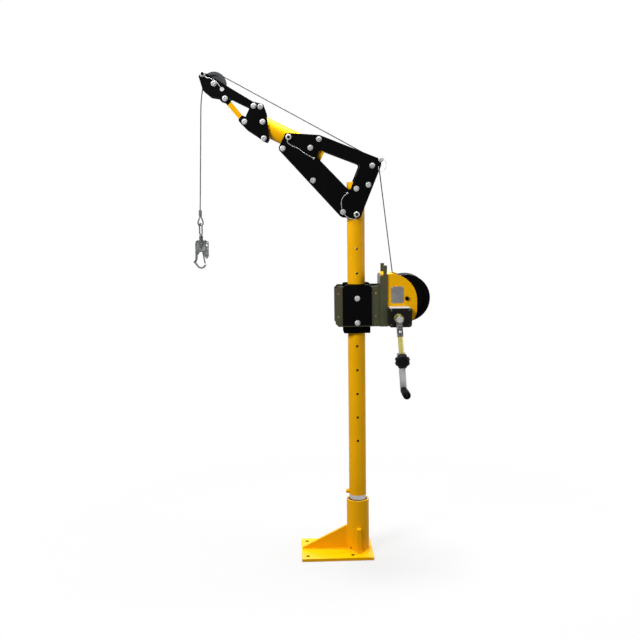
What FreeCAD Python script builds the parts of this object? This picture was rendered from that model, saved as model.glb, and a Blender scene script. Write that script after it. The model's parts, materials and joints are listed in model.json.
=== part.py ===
"""Floor-mounted davit crane: base socket, turning mast, boom with two sheaves, brake winch and snap hook.

Millimetres, +Z up. The origin is on the mast's axis at floor level, the boom points to -X and the
winch stands on the +X side. Every size is a cell of the sheet "Sizes"; "Layout" holds the places
that follow from those sizes.
"""
import FreeCAD, Part
import Sketcher
import math
import os
import re

Vec = FreeCAD.Vector
Turn = FreeCAD.Rotation
doc = FreeCAD.newDocument("davit_crane")

SIZES = {
    # floor base
    "base_length": 304.8, "base_depth": 228.6, "base_thickness": 12.7, "base_corner": 5.0,
    "base_heel": 60.2, "anchor_spacing_long": 190.5, "anchor_spacing_deep": 165.1,
    "anchor_edge": 25.4, "anchor_hole": 16.0,
    "socket_od": 95.25, "socket_wall": 6.35, "socket_height": 223.3, "drain_hole": 8.0,
    "drain_height": 12.0, "bush_floor": 6.0,
    "gusset_height": 105.0, "gusset_nose": 9.0, "gusset_thickness": 12.7, "gusset_setback": 5.6,
    "rib_height": 106.0, "rib_depth": 25.4, "rib_thickness": 15.9,
    # mast
    "mast_od": 73.0, "mast_wall": 6.35, "mast_lift": 21.0,
    "mast_hole": 10.4, "hole_pitch": 101.6, "hole_from_top": 118.2, "hole_count": 9,
    "spigot_grip": 80.0, "stud_diameter": 19.0, "stud_reach": 13.5, "stud_rise": 12.0, "stud_chamfer": 3.0,
    "running_gap": 0.05, "seat_gap": 0.3,
    "post_height": 152.0, "post_wall": 6.35, "post_spigot": 90.0, "post_spigot_wall": 6.0,
    # boom frame, measured along the boom from its nose
    "plate_thickness": 7.9, "bolt_size": 10.0, "bolt_play": 0.15,
    "boom_od": 73.0, "boom_wall": 5.0, "boom_angle": 26.0, "boom_height": 1630.6, "boom_over_mast": 200.6,
    "boom_nose": 470.0, "boom_tail_out": -324.0,
    "frame_front_out": -150.0, "frame_front_low": -59.0, "frame_front_high": 11.0,
    "knee_out": -278.0, "knee_rise": 61.6,
    "nose_reach": 38.0, "nose_rise": 24.0, "nose_drop": 2.0, "rear_edge": 14.5,
    "frame_foot": 18.0, "frame_foot_left": 60.0, "frame_corner": 14.0,
    "window_front_out": -304.0, "window_high": 9.0, "window_low": -21.7,
    "window_rear": 16.0, "window_rear_rise": 219.0, "window_foot": -26.5, "window_foot_rise": 116.0,
    "window_corner": 9.0,
    "boom_pin_out": -168.0, "tail_bolt_out": -265.0,
    "knee_bolt_out": -282.0, "spacer_size": 17.0, "front_bolt_out": -166.0,
    "belly_bolt_out": -330.0, "belly_bolt_drop": 113.0, "spacer_clearance": 1.0,
    "rear_axle_reach": 65.0, "rear_axle_rise": 217.0, "rear_bolt_reach": 49.2, "rear_bolt_rise": 140.2,
    "pivot_rise": 125.6, "mast_pin_rise": 21.7, "foot_bolt_reach": 55.3, "foot_bolt_rise": 32.1,
    # boom head, measured out from the tube's nose
    "knuckle_top_out": -24.0, "knuckle_top_rise": 74.0, "knuckle_back_out": -50.0,
    "knuckle_back_rise": 48.0, "knuckle_heel_out": -102.0, "knuckle_heel_rise": -38.0,
    "knuckle_heel_drop": -57.0, "knuckle_belly_out": -6.0, "knuckle_belly_rise": -44.0,
    "knuckle_ear_out": 42.0, "knuckle_ear_rise": -22.0, "knuckle_ear_width": 21.0,
    "knuckle_front_out": 20.0, "knuckle_front_rise": 66.0, "knuckle_corner": 8.0,
    "knuckle_pin_out": 9.0, "knuckle_pin_rise": 52.5,
    "knuckle_bolt_out": -16.4, "knuckle_bolt_rise": 61.1,
    "tube_bolt_out": -49.0, "tube_bolt_rise": 11.0, "heel_bolt_out": -81.0,
    "arm_end_out": -5.0, "arm_low": 38.5, "arm_high": 64.0,
    "head_tip_out": 254.0, "head_tip_high": 88.0, "head_tip_low": 63.0,
    "head_jaw_out": 216.0, "head_jaw_rise": 20.0, "head_belly_out": 178.0, "head_belly_rise": 11.0,
    "head_ear_out": 136.0, "head_ear_rise": 14.0, "head_ear_width": 24.0, "head_corner": 9.0,
    "head_neck_out": 102.0,
    "strut_low_out": 16.3, "strut_low_rise": -19.8, "strut_high_out": 124.1, "strut_high_rise": 29.8,
    "strut_width": 20.0, "strut_thickness": 6.0,
    "tip_axle_out": 188.3, "tip_axle_rise": 63.2, "axle_size": 12.7,
    "anchor_screw_out": 149.3, "anchor_screw_rise": 56.9, "anchor_screw_size": 8.0,
    "tip_sheave_od": 97.0, "rear_sheave_od": 70.0, "sheave_width": 26.0, "sheave_rim": 5.0,
    "groove_depth": 7.0, "sheave_hub": 34.0, "sheave_bush_od": 20.0, "side_gap": 0.4,
    "sheave_web": 9.0, "rope_size": 4.8, "keeper_gap": 3.0,
    "washer_size": 22.0, "washer_thickness": 2.0, "hex_size": 16.0, "hex_height": 6.5, "bolt_tail": 3.0,
    "button_size": 18.0, "button_top": 12.0, "socket_size": 8.0, "socket_depth": 4.0,
    "rope_gap": 0.3,
    # winch bracket, its lower bolt counted down the row of holes, heights from that bolt
    "winch_hole": 3, "sleeve_half": 54.5, "sleeve_depth": 45.0, "sleeve_drop": 45.0, "bracket_rise": 158.0,
    "carrier_thickness": 5.0, "carrier_left": 90.0, "carrier_drop": 17.0, "carrier_rise": 151.0,
    "bracket_half": 60.0, "bracket_drop": 12.0, "bracket_thickness": 8.0, "plate_chamfer": 13.0,
    "channel_left": 93.5, "channel_width": 31.0, "channel_half": 60.0, "channel_wall": 5.0,
    "channel_rise": 194.0, "ear_left": 13.5, "ear_width": 15.6, "ear_rise": 236.0,
    # winch
    "side_right": 247.0, "side_rise": 200.0, "side_thickness": 3.0, "side_shoulder": 110.0, "side_hip": 70.0,
    "lip_reach": 148.0, "lip_gap": 9.0,
    "drum_reach": 205.0, "drum_rise": 98.0, "flange_size": 194.0, "flange_thickness": 3.0,
    "barrel_size": 77.6, "barrel_wall": 5.8, "drum_half": 43.0, "shaft_size": 20.0, "collar_size": 28.0,
    "shaft_neck": 10.0, "shaft_nut": 16.0, "shaft_nut_height": 6.0,
    "gear_module": 3.0, "gear_teeth": 45, "pinion_teeth": 11, "gear_width": 7.0, "gear_bore": 100.0,
    "gear_play": 0.25, "pinion_turn": 239.9, "pinion_gap": 0.5, "crank_shaft": 16.0,
    "bearing_flange": 44.0, "bearing_seat": 26.0, "bearing_nose": 30.0, "bearing_depth": 3.0,
    "ratchet_size": 66.0, "ratchet_root": 56.0, "ratchet_teeth": 24, "ratchet_width": 6.0,
    "pawl_reach": 44.0, "pawl_rise": 12.0, "pawl_stud": 8.0, "pawl_boss": 14.0, "pawl_neck": 7.0,
    "cover_left": 38.0, "cover_right": 56.0, "cover_low": 39.0, "cover_high": 41.0, "cover_depth": 55.0,
    "cover_wall": 3.0, "cover_corner": 12.0,
    # crank
    "crank_lean": 3.93, "hub_size": 37.0, "hub_depth": 38.0, "hub_gap": 2.0, "crank_nut": 24.0,
    "crank_nut_depth": 10.0, "knuckle_width": 24.0, "knuckle_depth": 20.0, "knuckle_reach": 73.0,
    "crank_tube_size": 21.0, "crank_tube_end": 145.0, "clamp_reach": 172.4, "bar_width": 27.0,
    "clamp_height": 56.0, "block_wall": 3.0, "knob_size": 62.0, "knob_depth": 24.0, "knob_gap": 0.3,
    "knob_lobes": 8, "knob_scallop": 16.0, "bar_thickness": 7.5, "bar_start": 142.0, "bar_tail": 10.0,
    "slide_travel": 60.0, "bar_play": 0.3, "grip_reach": 297.8, "grip_size": 32.0, "grip_length": 118.0,
    "grip_axle": 10.0, "grip_neck": 24.0,
    # rope and hook, the hook hung from the tip axle
    "winding_turns": 6, "winding_pitch": 5.3, "rope_set": 10.0, "rope_drop": 70.0, "hang_lean": 2.2,
    "hook_drop": 499.3835, "ferrule_length": 23.6, "ferrule_size": 13.0, "end_gap": 0.5,
    "thimble_wire": 6.0, "thimble_drop": 64.6, "thimble_width": 30.0, "thimble_turn": 30.0,
    "eye_wire": 6.0, "eye_width": 24.0, "eye_turn": -50.0, "link_gap": 0.2, "eye_drop": 104.6,
    "shank_size": 8.0, "shank_depth": 12.0, "hook_body_drop": 121.1, "hook_thickness": 14.0, "hook_play": 0.3,
    "hook_bevel": 1.2, "lever_bevel": 0.9, "gate_width": 5.0, "gate_thickness": 6.0, "hook_pin": 4.0,
    "lever_thickness": 3.6, "lanyard_size": 2.0,
    "pin_size": 9.5, "pin_play": 0.1, "pin_button": 24.0, "pin_button_depth": 14.0, "pin_tail": 9.0,
}
sheet = doc.addObject("Spreadsheet::Sheet", "Sizes")
for row, (alias, number) in enumerate(SIZES.items(), start=1):
    sheet.set(f"A{row}", alias)
    sheet.set(f"B{row}", str(number))
    sheet.setAlias(f"B{row}", alias)
layout = doc.addObject("App::FeaturePython", "Layout")
doc.recompute()

WORD = re.compile(r"[a-z][a-z0-9_]*")


def bound(formula):
    """Point each size or place named in a formula at its cell or property."""
    def reference(match):
        name = match.group()
        if name in SIZES:
            return "Sizes." + name
        if name in layout.PropertiesList:
            return "Layout." + name
        return name
    return WORD.sub(reference, str(formula))


def derive(name, formula):
    """Keep a place or size that follows from the sheet under its own name."""
    layout.addProperty("App::PropertyFloat", name, "Derived")
    layout.setExpression(name, bound(formula))


def boom_point(name, along, rise):
    """Name a point given along the boom's axis (from the mast's axis) and square to it."""
    derive(name + "_x", f"-({along}) * cos(boom_angle) + ({rise}) * sin(boom_angle)")
    derive(name + "_z", f"boom_height + ({along}) * sin(boom_angle) + ({rise}) * cos(boom_angle)")


def get(name):
    """The present value of a size or place."""
    return float(sheet.get(name)) if name in SIZES else float(getattr(layout, name))


def settle():
    """Bring every formula up to date, so that get() gives current values."""
    doc.recompute()


def new_body(label):
    body = doc.addObject("PartDesign::Body", label)
    body.Label = label
    return body


def sketch_on(body, role, name, offset="0"):
    """A sketch on one of the body's own origin planes, moved along the plane's normal."""
    sketch = body.newObject("Sketcher::SketchObject", name)
    plane = [item for item in body.Origin.OriginFeatures if item.Role == role][0]
    sketch.AttachmentSupport = [(plane, "")]
    sketch.MapMode = "FlatFace"
    sketch.setExpression("AttachmentOffset.Base.z", bound(offset))
    return sketch


def pin_point(sketch, geometry, vertex, place):
    """Bind a point's two distances from the sketch's origin."""
    for kind, formula in zip(("DistanceX", "DistanceY"), place):
        index = sketch.addConstraint(Sketcher.Constraint(kind, -1, 1, geometry, vertex, 1.0))
        sketch.setExpression(f"Constraints[{index}]", bound(formula))


def draw_outline(sketch, corners):
    """A closed outline of straight edges through the corners."""
    count = len(corners)
    start = [Vec(math.cos(math.tau * i / count), math.sin(math.tau * i / count), 0) for i in range(count)]
    edges = [sketch.addGeometry(Part.LineSegment(start[i], start[(i + 1) % count]), False)
             for i in range(count)]
    for i, edge in enumerate(edges):
        sketch.addConstraint(Sketcher.Constraint("Coincident", edge, 2, edges[(i + 1) % count], 1))
        pin_point(sketch, edge, 1, corners[i])


def draw_circle(sketch, place, diameter):
    circle = sketch.addGeometry(Part.Circle(Vec(0, 0, 0), Vec(0, 0, 1), 5.0), False)
    pin_point(sketch, circle, 3, place)
    index = sketch.addConstraint(Sketcher.Constraint("Diameter", circle, 10.0))
    sketch.setExpression(f"Constraints[{index}]", bound(diameter))


def pad(body, sketch, length, midplane=False, reverse=False):
    feature = body.newObject("PartDesign::Pad", "Pad")
    feature.Profile = sketch
    feature.Midplane = midplane
    feature.Reversed = reverse
    feature.setExpression("Length", bound(length))
    return feature


def cut_through(body, sketch, both_ways=True):
    """Cut the sketch's outline right through the body."""
    feature = body.newObject("PartDesign::Pocket", "Pocket")
    feature.Profile = sketch
    feature.Type = 1
    feature.Midplane = both_ways
    return feature


def revolve(body, sketch, axis="V_Axis"):
    feature = body.newObject("PartDesign::Revolution", "Revolution")
    feature.Profile = sketch
    feature.ReferenceAxis = (sketch, [axis])
    feature.Angle = 360.0
    return feature


def round_corners(body, corners, radius, direction):
    """Fillet the body's edges that run along direction through the given corners (x, y, z)."""
    settle()
    base = body.Tip
    chosen = []
    for number, edge in enumerate(base.Shape.Edges, start=1):
        if len(edge.Vertexes) < 2 or not isinstance(edge.Curve, Part.Line):
            continue
        if abs(edge.Curve.Direction.dot(direction)) < 0.999:
            continue
        for corner in corners:
            gap = edge.Vertexes[0].Point.sub(corner)
            if gap.cross(direction).Length < 0.05:
                chosen.append(f"Edge{number}")
    feature = body.newObject("PartDesign::Fillet", "Fillet")
    feature.Base = (base, chosen)
    feature.setExpression("Radius", bound(radius))
    return feature


def place(item, x="0", y="0", z="0", turn=None):
    """Put an object at formulas for its three coordinates."""
    item.Placement = FreeCAD.Placement(Vec(0, 0, 0), turn or Turn())
    for axis, formula in zip("xyz", (x, y, z)):
        item.setExpression(f"Placement.Base.{axis}", bound(formula))


def cylinder(name, diameter, length, x="0", y="0", z="0", turn=None):
    item = doc.addObject("Part::Cylinder", name)
    item.setExpression("Radius", bound(f"({diameter}) / 2"))
    item.setExpression("Height", bound(length))
    place(item, x, y, z, turn)
    return item


def boolean(kind, label, base, tool):
    item = doc.addObject("Part::" + kind, label)
    item.Label = label
    item.Base = base
    item.Tool = tool
    return item


def solid_feature(label, shape):
    """A sub-part whose shape is worked out with Part's own functions from the sheet's values."""
    item = doc.addObject("Part::Feature", label)
    item.Label = label
    item.Shape = shape
    return item


NODES = []
# Snap hook outlines, measured from the middle of the hook's top
HOOK_OUTLINE = [(-22, -6), (-14, -1), (0, 0), (16, -1), (29, -6), (31, -18), (27, -34), (14, -48), (6, -49),
                (-4, -50), (-9, -54), (-16, -64), (-17.5, -80), (-23, -92), (-12, -108), (-3, -112.5),
                (4, -110.5), (13, -101), (20, -103), (10, -116), (-2, -119.5), (-13.5, -116), (-27, -100),
                (-34, -91), (-26.5, -82), (-25.5, -64), (-24.5, -18)]
GATE_PIVOT, GATE_TIP = (3.0, -40.0), (13.0, -96.0)
GATE_SLOT = [(-14, -30), (18, -30), (18, -60), (-14, -60)]
LEVER_PIVOT, LEVER_EYE = (15.0, -34.0), (23.0, -22.0)
LEVER_OUTLINE = [(18, -13), (23, -10.5), (29, -13), (31.5, -22), (30.5, -66), (26, -76), (20.5, -78),
                 (13, -70), (6, -48), (6.5, -32), (10, -22)]
FRAME_BOLTS = ["tail_bolt", "knee_bolt", "front_bolt", "belly_bolt", "rear_bolt", "pivot", "foot_bolt",
               "rear_keeper"]
KNUCKLE_BOLTS = ["knuckle_pin", "knuckle_bolt", "tube_bolt", "heel_bolt", "strut_low"]
FRAME_PLACES = ["boom_tail", "frame_front", "knee", "window_front", "boom_pin", "tail_bolt", "knee_bolt",
                "front_bolt", "belly_bolt"]
HEAD_PLACES = ["knuckle_top", "knuckle_back", "knuckle_heel", "knuckle_belly", "knuckle_ear", "knuckle_front",
               "knuckle_pin", "knuckle_bolt", "tube_bolt", "heel_bolt", "arm_end", "head_tip", "head_jaw",
               "head_belly", "head_ear", "head_neck", "strut_low", "strut_high", "tip_axle", "anchor_screw"]


def hand_in(*items):
    NODES.extend(items)


# Places that follow from the sizes
derive("socket_top", "base_thickness + socket_height")
derive("mast_foot", "socket_top + mast_lift")
derive("spigot_od", "mast_od - 2 * running_gap")
derive("spigot_foot", "base_thickness + bush_floor")
derive("mast_top", "boom_height - boom_over_mast")
derive("hole_last", "mast_top - hole_from_top")
derive("hole_first", "hole_last - hole_pitch * (hole_count - 1)")
derive("post_top", "mast_top + post_height")
derive("plate_inner", "max(mast_od; boom_od) / 2 + seat_gap")
derive("plate_outer", "plate_inner + plate_thickness")
derive("bolt_hole", "bolt_size + 2 * bolt_play")
derive("pin_hole", "pin_size + 2 * pin_play")
settle()


def floor_base():
    """Anchor plate, socket, long gusset, side ribs and the plastic bush that the mast turns in."""
    plate = new_body("base_plate")
    outline = sketch_on(plate, "XY_Plane", "PlateOutline")
    left = "base_heel - base_length"
    draw_outline(outline, [(left, "-base_depth / 2"), ("base_heel", "-base_depth / 2"),
                           ("base_heel", "base_depth / 2"), (left, "base_depth / 2")])
    pad(plate, outline, "base_thickness")
    settle()
    corners = [Vec(x, y, 0) for x in (get("base_heel"), get("base_heel") - get("base_length"))
               for y in (get("base_depth") / 2, -get("base_depth") / 2)]
    round_corners(plate, corners, "base_corner", Vec(0, 0, 1))
    holes = sketch_on(plate, "XY_Plane", "AnchorHoles")
    for step in ("0", "anchor_spacing_long"):
        for side in ("-", ""):
            draw_circle(holes, (f"{left} + anchor_edge + {step}", f"{side}anchor_spacing_deep / 2"),
                        "anchor_hole")
    cut_through(plate, holes)

    socket = new_body("SocketBlank")
    wall = sketch_on(socket, "XZ_Plane", "SocketWall")
    inner, outer = "socket_od / 2 - socket_wall", "socket_od / 2"
    draw_outline(wall, [(inner, "base_thickness"), (outer, "base_thickness"),
                        (outer, "socket_top"), (inner, "socket_top")])
    revolve(socket, wall)
    drain = cylinder("DrainDrill", "drain_hole", "socket_od", "0", "0",
                     "base_thickness + drain_height", Turn(Vec(0, 0, 1), 225).multiply(Turn(Vec(0, 1, 0), 90)))
    drained = boolean("Cut", "socket_tube", socket, drain)

    gusset = new_body("GussetBlank")
    profile = sketch_on(gusset, "XZ_Plane", "GussetProfile")
    toe = "base_heel - base_length + gusset_setback"
    near = "-sqrt((socket_od / 2)^2 - (gusset_thickness / 2)^2)"
    draw_outline(profile, [(near, "base_thickness"), (near, "base_thickness + gusset_height"),
                           (toe, "base_thickness + gusset_nose"), (toe, "base_thickness")])
    pad(gusset, profile, "gusset_thickness", midplane=True)
    fitted = boolean("Cut", "base_gusset", gusset,
                     cylinder("GussetSeat", "socket_od", "socket_height", z="base_thickness"))

    bars = []
    for side in (1, -1):
        bar = doc.addObject("Part::Box", "RibBar")
        bar.setExpression("Length", "Sizes.rib_thickness")
        bar.setExpression("Width", bound("rib_depth + socket_od / 2"))
        bar.setExpression("Height", "Sizes.rib_height")
        back = "0" if side > 0 else "-rib_depth - socket_od / 2"
        place(bar, "-rib_thickness / 2", back, "base_thickness")
        bars.append(bar)
    pair = doc.addObject("Part::MultiFuse", "RibPair")
    pair.Shapes = bars
    ribs = boolean("Cut", "socket_ribs", pair,
                   cylinder("RibSeat", "socket_od", "socket_height", z="base_thickness"))

    bush = new_body("socket_bush")
    cup = sketch_on(bush, "XZ_Plane", "BushCup")
    draw_outline(cup, [("0", "base_thickness"), (inner, "base_thickness"), (inner, "socket_top"),
                       ("mast_od / 2", "socket_top"), ("mast_od / 2", "spigot_foot"), ("0", "spigot_foot")])
    revolve(bush, cup)
    hand_in(plate, drained, fitted, ribs, bush)


def mast():
    """Mast tube with its row of holes, the bare spigot that turns in the socket, and a turning stud."""
    tube = new_body("mast_tube")
    wall = sketch_on(tube, "XZ_Plane", "MastWall")
    inner, outer = "mast_od / 2 - mast_wall", "mast_od / 2"
    draw_outline(wall, [(inner, "mast_foot"), (outer, "mast_foot"), (outer, "mast_top"), (inner, "mast_top")])
    revolve(tube, wall)
    hole = sketch_on(tube, "XZ_Plane", "FirstHole")
    draw_circle(hole, ("0", "hole_first"), "mast_hole")
    drilled = cut_through(tube, hole)
    settle()
    row = tube.newObject("PartDesign::LinearPattern", "HoleRow")
    row.Originals = [drilled]
    row.Direction = (hole, ["V_Axis"])
    row.setExpression("Occurrences", "Sizes.hole_count")
    row.setExpression("Length", "Sizes.hole_pitch * (Sizes.hole_count - 1)")
    tube.Tip = row

    spigot = new_body("mast_spigot")
    turned = sketch_on(spigot, "XZ_Plane", "SpigotProfile")
    bore = "mast_od / 2 - 2 * mast_wall"
    draw_outline(turned, [(bore, "spigot_foot"), ("spigot_od / 2", "spigot_foot"),
                          ("spigot_od / 2", "mast_foot"), (inner, "mast_foot"),
                          (inner, "mast_foot + spigot_grip"), (bore, "mast_foot + spigot_grip")])
    revolve(spigot, turned)

    stud = new_body("StudBar")
    profile = sketch_on(stud, "XZ_Plane", "StudProfile")
    tip, rim = "-mast_od / 2 - stud_reach", "mast_foot + stud_rise + stud_diameter / 2"
    middle = "mast_foot + stud_rise"
    draw_outline(profile, [("0", middle), ("0", rim), (f"{tip} + stud_chamfer", rim),
                           (tip, f"{rim} - stud_chamfer"), (tip, middle)])
    axis = profile.addGeometry(Part.LineSegment(Vec(-1, 0, 0), Vec(1, 0, 0)), True)
    pin_point(profile, axis, 1, ("-mast_od", middle))
    pin_point(profile, axis, 2, ("mast_od", middle))
    revolve(stud, profile, "Axis0")
    seat = cylinder("StudSeat", "mast_od", "2 * stud_diameter", z="mast_foot")
    stud_fitted = boolean("Cut", "turning_stud", stud, seat)
    hand_in(tube, spigot, stud_fitted)


def disc(diameter, y_from, y_to, x, z):
    """A plain cylinder lying along Y between two distances."""
    return Part.makeCylinder(diameter / 2, y_to - y_from, Vec(x, y_from, z), Vec(0, 1, 0))


def prism(outline, y_from, y_to):
    """A closed outline of (x, z) corners, drawn out along Y."""
    ring = [Vec(x, y_from, z) for x, z in outline + outline[:1]]
    return Part.Face(Part.makePolygon(ring)).extrude(Vec(0, y_to - y_from, 0))


def hexagon(across, y_from, y_to, x, z, sides=6):
    """A regular prism lying along Y, for nuts and the sockets of bolt heads."""
    radius = across / 2 / math.cos(math.pi / sides)
    turns = [math.tau * (i + 0.5) / sides for i in range(sides)]
    return prism([(x + radius * math.cos(turn), z + radius * math.sin(turn)) for turn in turns], y_from, y_to)


def through_bolt(shank, y_front, y_rear, x, z):
    """A bolt across two plates: flanged button head with a socket in front, washer, nut and tail behind."""
    washer, washer_depth = get("washer_size"), get("washer_thickness")
    across, height = get("hex_size"), get("hex_height")
    head_seat, nut_seat = y_front - washer_depth, y_rear + washer_depth
    wide, narrow = get("button_size") / 2, get("button_top") / 2
    button = Part.makeCone(wide, narrow, height, Vec(x, head_seat, z), Vec(0, -1, 0))
    socket = hexagon(get("socket_size"), head_seat - height, head_seat - height + get("socket_depth"), x, z)
    pieces = [disc(washer, head_seat, y_front, x, z), button,
              disc(washer, y_rear, nut_seat, x, z), hexagon(across, nut_seat, nut_seat + height, x, z)]
    bolt = disc(shank, head_seat, nut_seat + height + get("bolt_tail"), x, z)
    return bolt.multiFuse(pieces).removeSplitter().cut(socket)


def spacer(y_from, y_to, x, z):
    """A spacer tube over a bolt's shank."""
    return disc(get("spacer_size"), y_from, y_to, x, z).cut(disc(get("bolt_hole"), y_from, y_to, x, z))


def flat_plate(label, corners, holes, offset, thickness, rounds, window=None):
    """A plate in the boom's plane: outline, rounded corners, drilled holes and an optional window.

    corners and window list the names of Layout points, holes pairs a point's name with a diameter,
    rounds pairs a corner's name with a fillet size, and offset is the plate's distance towards -Y.
    """
    body = new_body(label)
    outline = sketch_on(body, "XZ_Plane", "PlateOutline", offset)
    draw_outline(outline, [(name + "_x", name + "_z") for name in corners])
    pad(body, outline, thickness)
    for size, names in rounds:
        round_corners(body, [Vec(get(name + "_x"), 0, get(name + "_z")) for name in names], size, Vec(0, 1, 0))
    if window:
        opening = sketch_on(body, "XZ_Plane", "Window")
        draw_outline(opening, [(name + "_x", name + "_z") for name in window[0]])
        cut_through(body, opening)
        round_corners(body, [Vec(get(name + "_x"), 0, get(name + "_z")) for name in window[0]],
                      window[1], Vec(0, 1, 0))
    drilled = sketch_on(body, "XZ_Plane", "Holes")
    for name, diameter in holes:
        draw_circle(drilled, (name + "_x", name + "_z"), diameter)
    cut_through(body, drilled)
    return body


def paired_plates(label, corners, holes, inner, thickness, rounds, window=None):
    """The same plate in front of and behind the boom's middle plane."""
    return [flat_plate(label + "_front", corners, holes, inner, thickness, rounds, window),
            flat_plate(label + "_rear", corners, holes, f"-({inner}) - {thickness}", thickness, rounds, window)]


for place_name in FRAME_PLACES:
    derive(f"{place_name}_along", f"boom_nose + {place_name}_out")
derive("boom_pin_x", "-boom_pin_along * cos(boom_angle)")
derive("boom_pin_z", "boom_height + boom_pin_along * sin(boom_angle)")
boom_point("tail_bolt", "tail_bolt_along", "0")
boom_point("knee_bolt", "knee_bolt_along", "boom_od / 2 + spacer_clearance + spacer_size / 2")
boom_point("front_bolt", "front_bolt_along", "-boom_od / 2 - spacer_clearance - spacer_size / 2 - 4")
boom_point("belly_bolt", "belly_bolt_along", "-belly_bolt_drop")
for name, x, rise in (("rear_axle", "rear_axle_reach", "rear_axle_rise"),
                      ("rear_bolt", "rear_bolt_reach", "rear_bolt_rise"),
                      ("pivot", "0", "pivot_rise"), ("mast_pin", "0", "mast_pin_rise"),
                      ("foot_bolt", "-foot_bolt_reach", "foot_bolt_rise")):
    derive(name + "_x", x)
    derive(name + "_z", f"mast_top + {rise}")
boom_point("frame_low", "frame_front_along", "frame_front_low")
boom_point("frame_high", "frame_front_along", "frame_front_high")
boom_point("frame_knee", "knee_along", "knee_rise")
derive("frame_nose_x", "rear_axle_x + nose_reach")
derive("frame_nose_z", "rear_axle_z + nose_rise")
derive("frame_chin_x", "rear_axle_x + nose_reach - nose_drop")
derive("frame_chin_z", "rear_axle_z - nose_drop")
derive("frame_foot_x", "rear_edge")
derive("frame_foot_z", "mast_pin_z - frame_foot")
derive("frame_toe_x", "-frame_foot_left")
derive("frame_toe_z", "mast_pin_z - frame_foot + 6")
boom_point("window_top", "window_front_along", "window_high")
boom_point("window_end", "window_front_along", "window_low")
derive("window_back_x", "window_rear")
derive("window_back_z", "mast_top + window_rear_rise")
derive("window_base_x", "window_foot")
derive("window_base_z", "mast_top + window_foot_rise")
derive("rear_pitch", "rear_sheave_od / 2 - groove_depth + rope_size / 2 + rope_gap")
derive("tip_pitch", "tip_sheave_od / 2 - groove_depth + rope_size / 2 + rope_gap")
derive("rear_keeper_x", "rear_axle_x + (rear_sheave_od / 2 + bolt_size / 2 + keeper_gap) * cos(34)")
derive("rear_keeper_z", "rear_axle_z + (rear_sheave_od / 2 + bolt_size / 2 + keeper_gap) * sin(34)")
for place_name in HEAD_PLACES:
    derive(f"{place_name}_along", f"boom_nose + {place_name}_out")
boom_point("knuckle_top", "knuckle_top_along", "knuckle_top_rise")
boom_point("knuckle_back", "knuckle_back_along", "knuckle_back_rise")
boom_point("knuckle_heel", "knuckle_heel_along", "knuckle_heel_rise")
boom_point("knuckle_sole", "knuckle_heel_along", "knuckle_heel_drop")
boom_point("knuckle_belly", "knuckle_belly_along", "knuckle_belly_rise")
boom_point("knuckle_ear", "knuckle_ear_along", "knuckle_ear_rise - 4")
boom_point("knuckle_lip", "knuckle_ear_along - 6", "knuckle_ear_rise + knuckle_ear_width")
boom_point("knuckle_notch", "knuckle_front_along", "knuckle_ear_rise + knuckle_ear_width")
boom_point("knuckle_front", "knuckle_front_along", "knuckle_front_rise")
boom_point("knuckle_pin", "knuckle_pin_along", "knuckle_pin_rise")
boom_point("knuckle_bolt", "knuckle_bolt_along", "knuckle_bolt_rise")
boom_point("tube_bolt", "tube_bolt_along", "tube_bolt_rise")
boom_point("heel_bolt", "heel_bolt_along", "-boom_od / 2 - spacer_clearance - spacer_size / 2")
boom_point("arm_low_end", "arm_end_along", "arm_low")
boom_point("arm_high_end", "arm_end_along", "arm_high")
boom_point("head_tip", "head_tip_along", "head_tip_high")
boom_point("head_lip", "head_tip_along", "head_tip_low")
boom_point("head_jaw", "head_jaw_along", "head_jaw_rise")
boom_point("head_belly", "head_belly_along", "head_belly_rise")
boom_point("head_throat", "head_ear_along + 12", "head_jaw_rise")
boom_point("head_ear", "head_ear_along", "head_ear_rise")
boom_point("head_ear_back", "head_ear_along - head_ear_width", "head_ear_rise + 3")
boom_point("head_neck", "head_neck_along", "arm_low")
boom_point("strut_low", "strut_low_along", "strut_low_rise")
boom_point("strut_high", "strut_high_along", "strut_high_rise")
boom_point("tip_axle", "tip_axle_along", "tip_axle_rise")
derive("ferrule_top", "tip_axle_z - hook_drop")
for place_name in ("thimble", "eye"):
    derive(f"{place_name}_foot", f"ferrule_top - {place_name}_drop")
derive("hook_top", "ferrule_top - hook_body_drop")
boom_point("anchor_screw", "anchor_screw_along", "anchor_screw_rise")
derive("keeper_reach", "tip_sheave_od / 2 + pin_size / 2 + keeper_gap")
boom_point("tip_pin", "tip_axle_along + keeper_reach * cos(14)", "tip_axle_rise + keeper_reach * sin(14)")
derive("head_inner", "plate_inner - plate_thickness")
derive("strut_inner", "head_inner - strut_thickness")
derive("axle_hole", "axle_size + 2 * bolt_play")
derive("winch_low", "hole_last - hole_pitch * winch_hole")
derive("winch_high", "winch_low + hole_pitch")
derive("carrier_outer", "sleeve_depth + carrier_thickness")
derive("bracket_outer", "carrier_outer + bracket_thickness")
derive("low_bolt_x", "0")
derive("low_bolt_z", "winch_low")
derive("high_bolt_x", "0")
derive("high_bolt_z", "winch_high")
derive("channel_right", "channel_left + channel_width")
derive("channel_low", "winch_low - carrier_drop")
derive("channel_top", "winch_low + channel_rise")
derive("side_outer", "channel_half - channel_wall")
derive("side_inner", "side_outer - side_thickness")
derive("side_top", "winch_low + side_rise")
derive("drum_x", "drum_reach")
derive("drum_z", "winch_low + drum_rise")
derive("mesh_distance", "gear_module * (gear_teeth + pinion_teeth) / 2")
derive("pinion_x", "drum_x + mesh_distance * cos(pinion_turn)")
derive("pinion_z", "drum_z + mesh_distance * sin(pinion_turn)")
derive("shaft_bore", "crank_shaft + 2 * running_gap")
derive("pawl_x", "pinion_x + pawl_reach")
derive("pawl_z", "pinion_z + pawl_rise")
derive("cover_front", "side_outer + cover_depth")
derive("hub_back", "cover_front + hub_gap")
derive("hub_front", "hub_back + hub_depth")
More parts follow.
